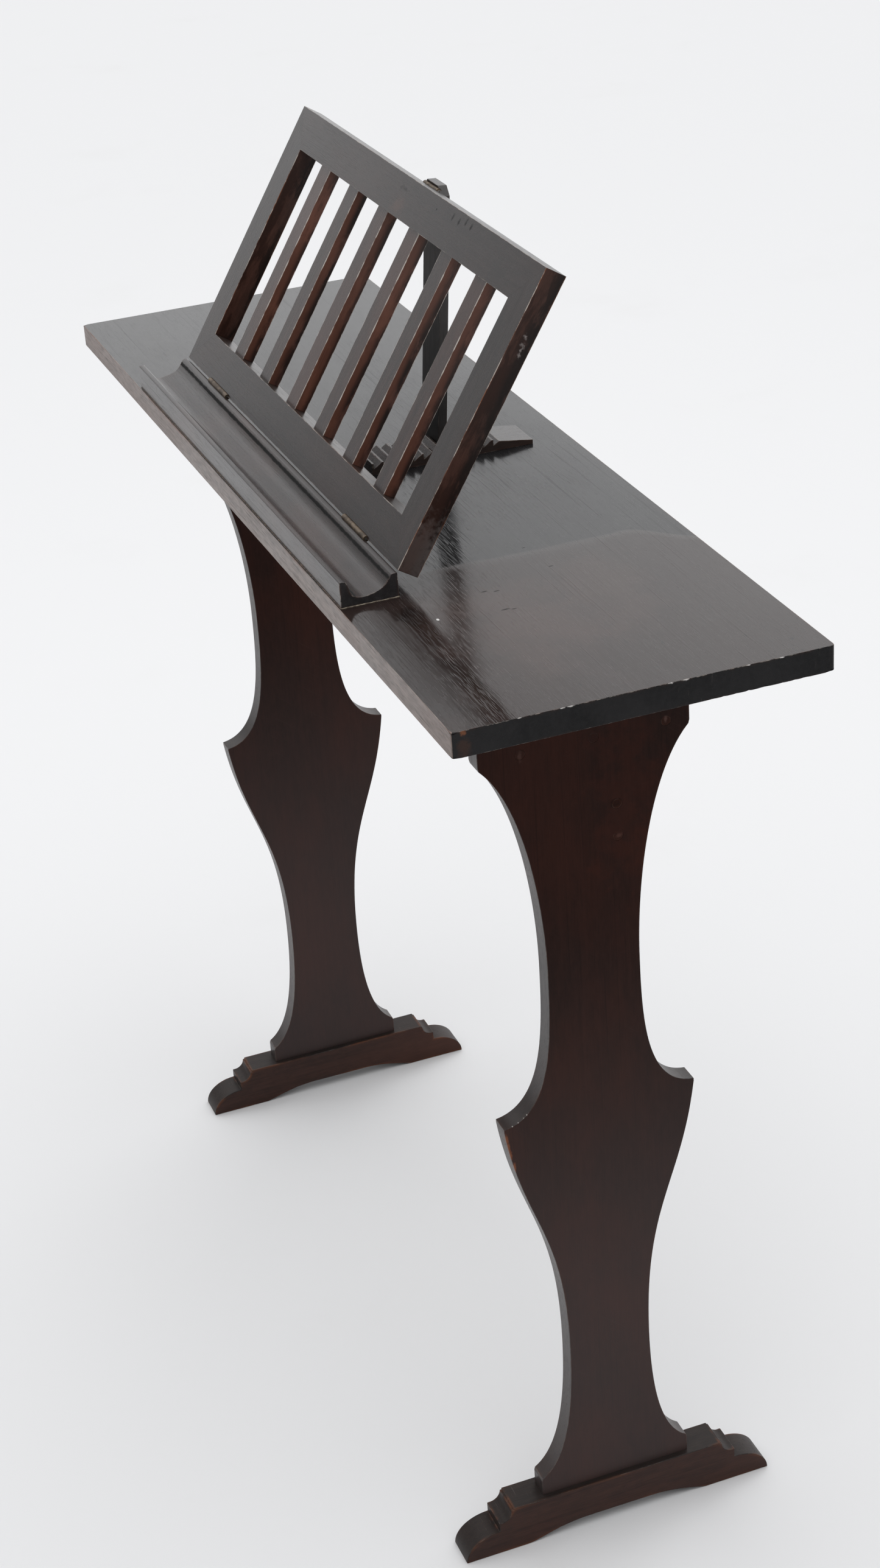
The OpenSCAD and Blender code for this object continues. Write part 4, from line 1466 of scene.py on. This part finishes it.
@dataclass
class Hinge:
    """Where a hinge is let into the wood."""

    length: float
    knuckle: float = 3.2 * MM
    leaf: float = 17.1 * MM
    back: float = 2.0 * MM
    play: float = 0.1 * MM

    def tools(self, place: Matrix) -> list[Piece]:
        """Tools that cut a leaf's seat and its barrel's groove.

        Args:
            place: Frame of the hinge: X along its pin, Y into the wood and Z away from the leaf's far edge.

        Returns:
            The tools.
        """
        half = self.length / 2 + self.play
        return [box_tool((-half, -1 * MM, -self.leaf), (half, self.back, 0), place),
                rod_tool((-half, 0, 0), (half, 0, 0), self.knuckle, place)]


@dataclass
class PenLedge:
    """The moulded ledge with its hollow for pens, and the seats of the rack's hinges."""

    left: float
    right: float
    front: float
    base: float
    depth: float
    axis: Vector
    lip: float = 26 * MM
    section: tuple[Point, ...] = (
        (0.000, 0.965), (0.006, 0.99), (0.022, 1.0), (0.060, 1.0), (0.095, 0.992), (0.118, 0.955),
        (0.140, 0.84), (0.162, 0.64), (0.185, 0.505), (0.212, 0.418), (0.2416, 0.366), (0.280, 0.328),
        (0.330, 0.305), (0.400, 0.296), (0.480, 0.318), (0.557, 0.352), (0.620, 0.388), (0.680, 0.437),
        (0.725, 0.487), (0.765, 0.556), (0.800, 0.640), (0.830, 0.728), (0.860, 0.826), (0.885, 0.896),
        (0.905, 0.930), (0.935, 0.945), (0.965, 0.948), (0.985, 0.938), (0.996, 0.915), (1.000, 0.880))

    @classmethod
    def from_frame(cls) -> "PenLedge":
        """Reads the ledge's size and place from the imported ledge."""
        low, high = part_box("pen_ledge")
        return cls(low.x, high.x, low.y, low.z, high.y - low.y, rack_axis())

    def outline(self) -> list[Point]:
        """The ledge's section in Y and Z."""
        points = [(0.0, 0.0), *smoothed(self.section, 3), (1.0, 0.0)]
        return [(self.front + u * self.depth, self.base + v * self.lip) for u, v in points]

    def build(self) -> None:
        """Makes the ledge."""
        board = Board("pen_ledge_moulding", self.outline(), self.right - self.left, upright(self.left), Axis.W,
                      arris=0.5 * MM, nicks=0.2, sharp_turn=30, rings=(0.9 * MM, 2.6 * MM))
        made = board.build()
        tools = []
        for node in ("left_ledge_leaf", "right_ledge_leaf"):
            low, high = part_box(node)
            middle = Vector(((low.x + high.x) / 2, self.axis.y, self.axis.z))
            into = frame_matrix(RIGHT, Vector((0, -1, 0)), UP, middle)
            tools += Hinge(high.x - low.x).tools(upright(self.left).inverted() @ into)
        carve(made, tools)
        show(board.settle(made, LEDGE_END, LEDGE_WOOD), "stand", "top_wood", "pen_ledge")
        left, corner = (Vector((x, self.front, self.base)) for x in (self.left, self.right))
        back = corner + Vector((0, self.depth, 0))
        self.build_bead("ledge_glue_line", corner, back, RIGHT, 0.75 * MM, GLUE)
        self.build_bead("ledge_grime_line", left, corner, Vector((0, -1, 0)), 0.55 * MM, OLD_GRIME)

    def build_bead(self, name: str, start: Vector, end: Vector, out: Vector, size: float,
                   finish: OldGlue) -> None:
        """Makes an uneven bead in the corner between the ledge and the top.

        Args:
            name: Name of the piece.
            start: One end of the corner.
            end: The other end.
            out: Direction away from the ledge.
            size: Mean width.
            finish: What the bead is of.
        """
        count = max(20, round((end - start).length / (0.8 * MM)))
        way = (end - start).normalized()
        shape = bmesh.new()
        rows = []
        for i in range(count + 1):
            place = start + (end - start) * i / count - way * 0.5 * MM * (1 - 2 * i / count)
            run = (place - start).dot(way)
            bulge = noise.noise(Vector((run * 260, 3.1, len(name))))
            fine = noise.noise(Vector((run * 900, 8.2, len(name))))
            wide = size * (1 + 0.7 * bulge + 0.4 * fine)
            section = ((-0.3 * MM, 0.0), (wide, 0.0), (0.75 * wide, 0.45 * wide), (0.3 * wide, 0.9 * wide),
                       (-0.3 * MM, 1.05 * wide))
            rows.append([shape.verts.new(place + out * a + Vector((0, 0, up))) for a, up in section])
        for first, second in zip(rows, rows[1:]):
            for k in range(len(first)):
                n = (k + 1) % len(first)
                shape.faces.new((first[k], second[k], second[n], first[n]))
        shape.faces.new(rows[0])
        shape.faces.new(rows[-1][::-1])
        bmesh.ops.recalc_face_normals(shape, faces=shape.faces)
        mesh = bpy.data.meshes.new(name)
        shape.to_mesh(mesh)
        shape.free()
        mesh.materials.append(dressed(finish))
        mesh.shade_smooth()
        made = bpy.data.objects.new(name, mesh)
        bpy.context.scene.collection.objects.link(made)
        show(made, "stand", "top_wood")


def sloping(origin: Vector, degrees: float) -> Matrix:
    """A frame whose U points right, V up a slope and W out of it.

    Args:
        origin: Its origin.
        degrees: Angle of the slope with the floor.

    Returns:
        The placing matrix.
    """
    a = math.radians(degrees)
    up, out = Vector((0, math.cos(a), math.sin(a))), Vector((0, -math.sin(a), math.cos(a)))
    return frame_matrix(RIGHT, up, out, origin)


def rack_axis() -> Vector:
    """A point on the rack's hinge axis, under the rack's middle."""
    joint = next(j for j in frame["joints"] if j["name"] == "rack_tilt")
    return Vector(joint["pos_m"])


def strut_axis() -> Vector:
    """A point on the strut's hinge axis, at the strut's middle."""
    joint = next(j for j in frame["joints"] if j["name"] == "strut_swing")
    return Vector(joint["pos_m"])


@dataclass
class Rack:
    """The sloping book rack: two stiles, two rails and six slats."""

    axis: Vector
    width: float = 680 * MM
    height: float = 306 * MM
    member: float = 42 * MM
    thickness: float = 22.5 * MM
    slope: float = 58.2
    gap: float = 0.5 * MM
    slat_width: float = 27.5 * MM
    slat_thickness: float = 12.5 * MM
    slat_count: int = 6

    def place(self, x: float, up: float, out: float) -> Matrix:
        """Frame on the rack: U along it, V up its slope and W out of its front.

        Args:
            x: Distance right of the rack's middle.
            up: Distance up the slope from the hinge axis.
            out: Distance out from the front face.

        Returns:
            The placing matrix.
        """
        return sloping(self.axis, self.slope) @ Matrix.Translation((x, up, out))

    def member_piece(self, name: str, outline: Sequence[Point], grain: Axis, node: str,
                     tools: Sequence[Piece] = ()) -> None:
        """Makes one board of the mitred frame, its mitres at the two slanting sides.

        Args:
            name: Name of the piece.
            outline: Its outline, seen from the front.
            grain: Direction of its grain.
            node: CAD node that it stands for.
            tools: What is cut from it.
        """
        ends = [(p, q) for p, q in zip(outline, [*outline[1:], outline[0]])
                if abs(abs(p[0] - q[0]) - abs(p[1] - q[1])) < TOUCH]
        mitres = tuple(((p[0] + q[0]) / 2, (p[1] + q[1]) / 2) for p, q in ends)
        board = Board(name, outline, self.thickness, self.place(0, self.gap, -self.thickness), grain,
                      arris=0.45 * MM, nicks=0.12, joints=mitres)
        made = board.build()
        if tools:
            carve(made, tools)
        show(board.settle(made, RACK_FACE, RACK_EDGE, RACK_FLANK), "rack", "rack_wood", node)

    def build(self) -> None:
        """Makes the rack."""
        outer, inner = self.width / 2, self.width / 2 - self.member
        low, high = self.member, self.height - self.member
        for side, name in ((-1, "left"), (1, "right")):
            outline = [(side * outer, 0.0), (side * outer, self.height), (side * inner, high),
                       (side * inner, low)]
            self.member_piece(name + "_stile_board", outline, Axis.V, name + "_stile")
        local = self.place(0, self.gap, -self.thickness).inverted()
        bottom_tools = []
        for node in ("left_rack_leaf", "right_rack_leaf"):
            box_low, box_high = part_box(node)
            shift = (box_low.x + box_high.x) / 2 - self.axis.x
            bottom_tools += Hinge(box_high.x - box_low.x).tools(local @ self.place(shift, 0, 0))
        outline = [(-outer, 0.0), (outer, 0.0), (inner, low), (-inner, low)]
        self.member_piece("bottom_rail_board", outline, Axis.U, "bottom_rail", bottom_tools)
        box_low, box_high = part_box("rail_leaf")
        pivot = self.place(0, self.gap + self.height, -self.thickness - self.gap)
        swapped = Matrix(((1, 0, 0, 0), (0, 0, 1, 0), (0, 1, 0, 0), (0, 0, 0, 1)))
        top_tools = Hinge(box_high.x - box_low.x).tools(local @ pivot @ swapped)
        for tool in top_tools:
            tool.data.flip_normals()
        outline = [(-inner, high), (inner, high), (outer, self.height), (-outer, self.height)]
        self.member_piece("top_rail_board", outline, Axis.U, "top_rail", top_tools)
        self.build_slats()

    def build_slats(self) -> None:
        """Makes the slats."""
        free = self.width - 2 * self.member - self.slat_count * self.slat_width
        pitch = self.slat_width + free / (self.slat_count + 1)
        half, length = self.slat_width / 2, self.height - 2 * self.member
        out = -(self.thickness + self.slat_thickness) / 2
        for i in range(self.slat_count):
            x = (i + 0.5 - self.slat_count / 2) * pitch
            board = Board(f"slat_board_{i + 1}", [(-half, 0), (half, 0), (half, length), (-half, length)],
                          self.slat_thickness, self.place(x, self.gap + self.member, out), Axis.V,
                          arris=0.4 * MM, nicks=0.1, joints=((0.0, 0.0), (0.0, length)))
            made = board.settle(board.build(), SLAT_FACE, RACK_EDGE, SLAT_FLANK)
            show(made, "rack", "rack_wood", f"slat_{i + 1}")


@dataclass
class Strut:
    """The board that props the rack, with clipped corners and a bevelled foot."""

    axis: Vector
    lean: float = 4.494
    width: float = 48 * MM
    thickness: float = 9.5 * MM
    gap: float = 0.5 * MM
    head: float = 5 * MM
    clip: float = 9 * MM
    bevel: float = 6 * MM
    drop: float = 261.07 * MM
    reach: float = 4.5 * MM

    def build(self) -> None:
        """Makes the strut."""
        half, foot = self.width / 2, -self.drop - self.reach
        outline = [(half, foot), (half, self.head - self.clip), (half - self.clip, self.head),
                   (-half + self.clip, self.head), (-half, self.head - self.clip), (-half, foot)]
        hinge = sloping(self.axis, 90 - self.lean)
        place = hinge @ Matrix.Translation((0, 0, -self.gap - self.thickness))
        board = Board("strut_board", outline, self.thickness, place, Axis.V, arris=0.5 * MM, nicks=0.4)
        made = board.build()
        for vertex in made.data.vertices:
            lift = self.bevel * (1 - vertex.co.z / self.thickness)
            vertex.co.y += lift * min(1.0, max(0.0, 1 - (vertex.co.y - foot) / (30 * MM)))
        low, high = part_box("strut_leaf")
        turned = Matrix(((1, 0, 0, 0), (0, 0, 1, 0), (0, -1, 0, 0), (0, 0, 0, 1)))
        carve(made, Hinge(high.x - low.x).tools(place.inverted() @ hinge @ turned))
        show(board.settle(made, STRUT_WOOD, STRUT_SIDE), "strut", "rack_wood", "strut")


@dataclass
class Ratchet:
    """The notched board that the strut's foot stands on."""

    left: float
    right: float
    front: float
    base: float
    height: float
    pitch: float = 11 * MM
    tooth_depth: float = 6 * MM
    land: float = 2 * MM
    count: int = 13
    ridge_run: float = 6.5 * MM
    ridge_drop: float = 2.4 * MM
    tail: float = 44 * MM
    tail_end: float = 4.5 * MM

    @classmethod
    def from_frame(cls) -> "Ratchet":
        """Reads the board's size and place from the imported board."""
        low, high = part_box("ratchet_board")
        return cls(low.x, high.x, low.y, low.z, high.z - low.z)

    def build(self) -> None:
        """Makes the notched board."""
        section = [(0.0, 0.0)]
        for i in range(self.count):
            y = i * self.pitch
            section += [(y, self.height), (y + self.land, self.height),
                        (y + self.land, self.height - self.tooth_depth)]
        end = (self.count - 1) * self.pitch + self.land
        section += [(end + self.ridge_run, self.height - self.ridge_drop), (end + self.tail, self.tail_end),
                    (end + self.tail, 0.0)]
        outline = [(self.front + u, self.base + v) for u, v in section]
        board = Board("ratchet_moulding", outline, self.right - self.left, upright(self.left), Axis.U,
                      arris=0.3 * MM, nicks=0.6, rings=(0.8 * MM, 2.2 * MM), cell=8 * MM, sharp_turn=12)
        show(board.settle(board.build(), RATCHET_SIDE, RATCHET_WOOD), "stand", "rack_wood", "ratchet_board")


@dataclass
class Underframe:
    """The rail between the legs and the two cleats that hold the top."""

    def build(self) -> None:
        """Makes the rail and the cleats from the boxes of their nodes."""
        rows = (("stretcher", "stretcher_board", Axis.U), ("left_cleat", "left_cleat_block", Axis.V),
                ("right_cleat", "right_cleat_block", Axis.V))
        for node, name, grain in rows:
            low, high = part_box(node)
            span = high - low
            outline = [(0, 0), (span.x, 0), (span.x, span.y), (0, span.y)]
            board = Board(name, outline, span.z, Matrix.Translation(low), grain, arris=0.5 * MM)
            show(board.settle(board.build(), HIDDEN_WOOD), "stand", "frame_wood", node)


@dataclass
class Metalwork:
    """Hinges, pins and screws, which keep the shapes of the frame."""

    brass: tuple[str, ...] = ("left_ledge_leaf", "right_ledge_leaf", "left_rack_leaf", "right_rack_leaf",
                              "rail_leaf", "strut_leaf")
    steel: tuple[str, ...] = ("left_hinge_pin", "right_hinge_pin", "strut_hinge_pin", "ledge_leaf_screws",
                              "rack_leaf_screws", "rail_leaf_screws", "strut_leaf_screws", "stretcher_screws",
                              "cleat_screws", "top_screws", "ratchet_pin")

    def dress(self) -> None:
        """Gives every metal node its finish."""
        for names, finish in ((self.brass, BRASS), (self.steel, STEEL)):
            for name in names:
                mesh = frame["nodes"][name].data
                mesh.materials.clear()
                mesh.materials.append(dressed(finish))
        LOG.info("metalwork: %d nodes", len(self.brass) + len(self.steel))


@dataclass
class Studio:
    """Floor, light and camera."""

    floor_half: float = 14.0
    floor_drop: float = 0.2 * MM
    surround: float = 0.42
    wall: float = 0.94
    wall_toward: tuple[float, float, float] = (-0.88, 0.45, 0.12)
    wall_fade: tuple[float, float] = (0.58, 0.72)
    ceiling: float = 1.5
    ceiling_fade: tuple[float, float] = (0.55, 1.0)
    doorway: float = 0.42
    doorway_toward: tuple[float, float, float] = (-0.771, 0.164, 0.616)
    doorway_fade: tuple[float, float] = (0.94, 0.985)
    light_color: tuple[float, float, float, float] = (0.985, 0.99, 1.0, 1.0)
    lamp_place: tuple[float, float, float] = (-0.9, 0.5, 3.6)
    lamp_aim: tuple[float, float, float] = (0, 0, 0.6)
    lamp_size: float = 2.8
    lamp_watts: float = 10
    camera_place: Vector = field(default_factory=lambda: Vector((2.532992, -0.861554, 2.080775)))
    azimuth: float = 70.820
    elevation: float = 27.945
    roll: float = -4.054
    focal_px: float = 4515.371
    frame_px: tuple[int, int] = (1445, 2576)
    sensor_mm: float = 36.0
    sight: float = 60

    def build(self) -> None:
        """Makes the floor, the world, the lamps and the camera."""
        self.build_floor()
        self.build_light()
        self.build_camera()

    def build_floor(self) -> None:
        """Lays the pale floor."""
        half = self.floor_half
        mesh = bpy.data.meshes.new("floor")
        corners = [(-half, -half, 0), (half, -half, 0), (half, half, 0), (-half, half, 0)]
        mesh.from_pydata(corners, [], [(0, 1, 2, 3)])
        mesh.materials.append(dressed(PaperFloor()))
        floor = bpy.data.objects.new("floor", mesh)
        floor.location.z = -self.floor_drop
        bpy.context.scene.collection.objects.link(floor)

    def build_light(self) -> None:
        """Sets the soft surroundings and the lamp."""
        world = bpy.data.worlds.new("studio")
        bpy.context.scene.world = world
        s = Shader(world)
        way = s.node("TexCoord").outputs["Generated"]
        wall = s.step(s.dot(way, Vector(self.wall_toward).normalized()), *self.wall_fade)
        ceiling = s.step(s.dot(way, (0, 0, 1)), *self.ceiling_fade)
        doorway = s.step(s.dot(way, Vector(self.doorway_toward).normalized()), *self.doorway_fade)
        full = s.total(self.surround, (wall, self.wall), (ceiling, self.ceiling))
        level = s.math("MULTIPLY", full, s.total(1.0, (doorway, -self.doorway)))
        light = s.node("Background", Color=self.light_color, Strength=level)
        s.node("OutputWorld", Surface=light.outputs[0])
        data = bpy.data.lights.new("overhead", "AREA")
        data.shape, data.size, data.energy = "SQUARE", self.lamp_size, self.lamp_watts
        lamp = bpy.data.objects.new("overhead", data)
        lamp.location = self.lamp_place
        toward = Vector(self.lamp_aim) - Vector(self.lamp_place)
        lamp.rotation_euler = toward.to_track_quat("-Z", "Y").to_euler()
        bpy.context.scene.collection.objects.link(lamp)

    def build_camera(self) -> None:
        """Sets up the camera at the photograph's viewing angle."""
        a, e, r = (math.radians(v) for v in (self.azimuth, self.elevation, self.roll))
        back = Vector((math.sin(a) * math.cos(e), -math.cos(a) * math.cos(e), math.sin(e)))
        right = UP.cross(back).normalized()
        up = back.cross(right)
        turned_right = right * math.cos(r) + up * math.sin(r)
        turned_up = up * math.cos(r) - right * math.sin(r)
        data = bpy.data.cameras.new("camera")
        data.sensor_fit = "AUTO"
        data.sensor_width = data.sensor_height = self.sensor_mm
        data.lens = self.focal_px / max(self.frame_px) * self.sensor_mm
        data.clip_end = self.sight
        camera = bpy.data.objects.new("camera", data)
        camera.matrix_world = frame_matrix(turned_right, turned_up, back, self.camera_place)
        bpy.context.scene.collection.objects.link(camera)
        bpy.context.scene.camera = camera


def main() -> None:
    """Builds the desk's pieces and the studio in order."""
    logging.basicConfig(level=logging.INFO, format="%(name)s %(message)s")
    bpy.context.scene.view_settings.view_transform = "Standard"
    Studio().build()
    TableTop.from_frame().build()
    for side in (-1, 1):
        Leg.from_frame(side).build()
        Foot.from_frame(side).build()
    PenLedge.from_frame().build()
    Rack(rack_axis()).build()
    Strut(strut_axis()).build()
    Ratchet.from_frame().build()
    Underframe().build()
    Metalwork().dress()


if __name__ == "__main__":
    main()
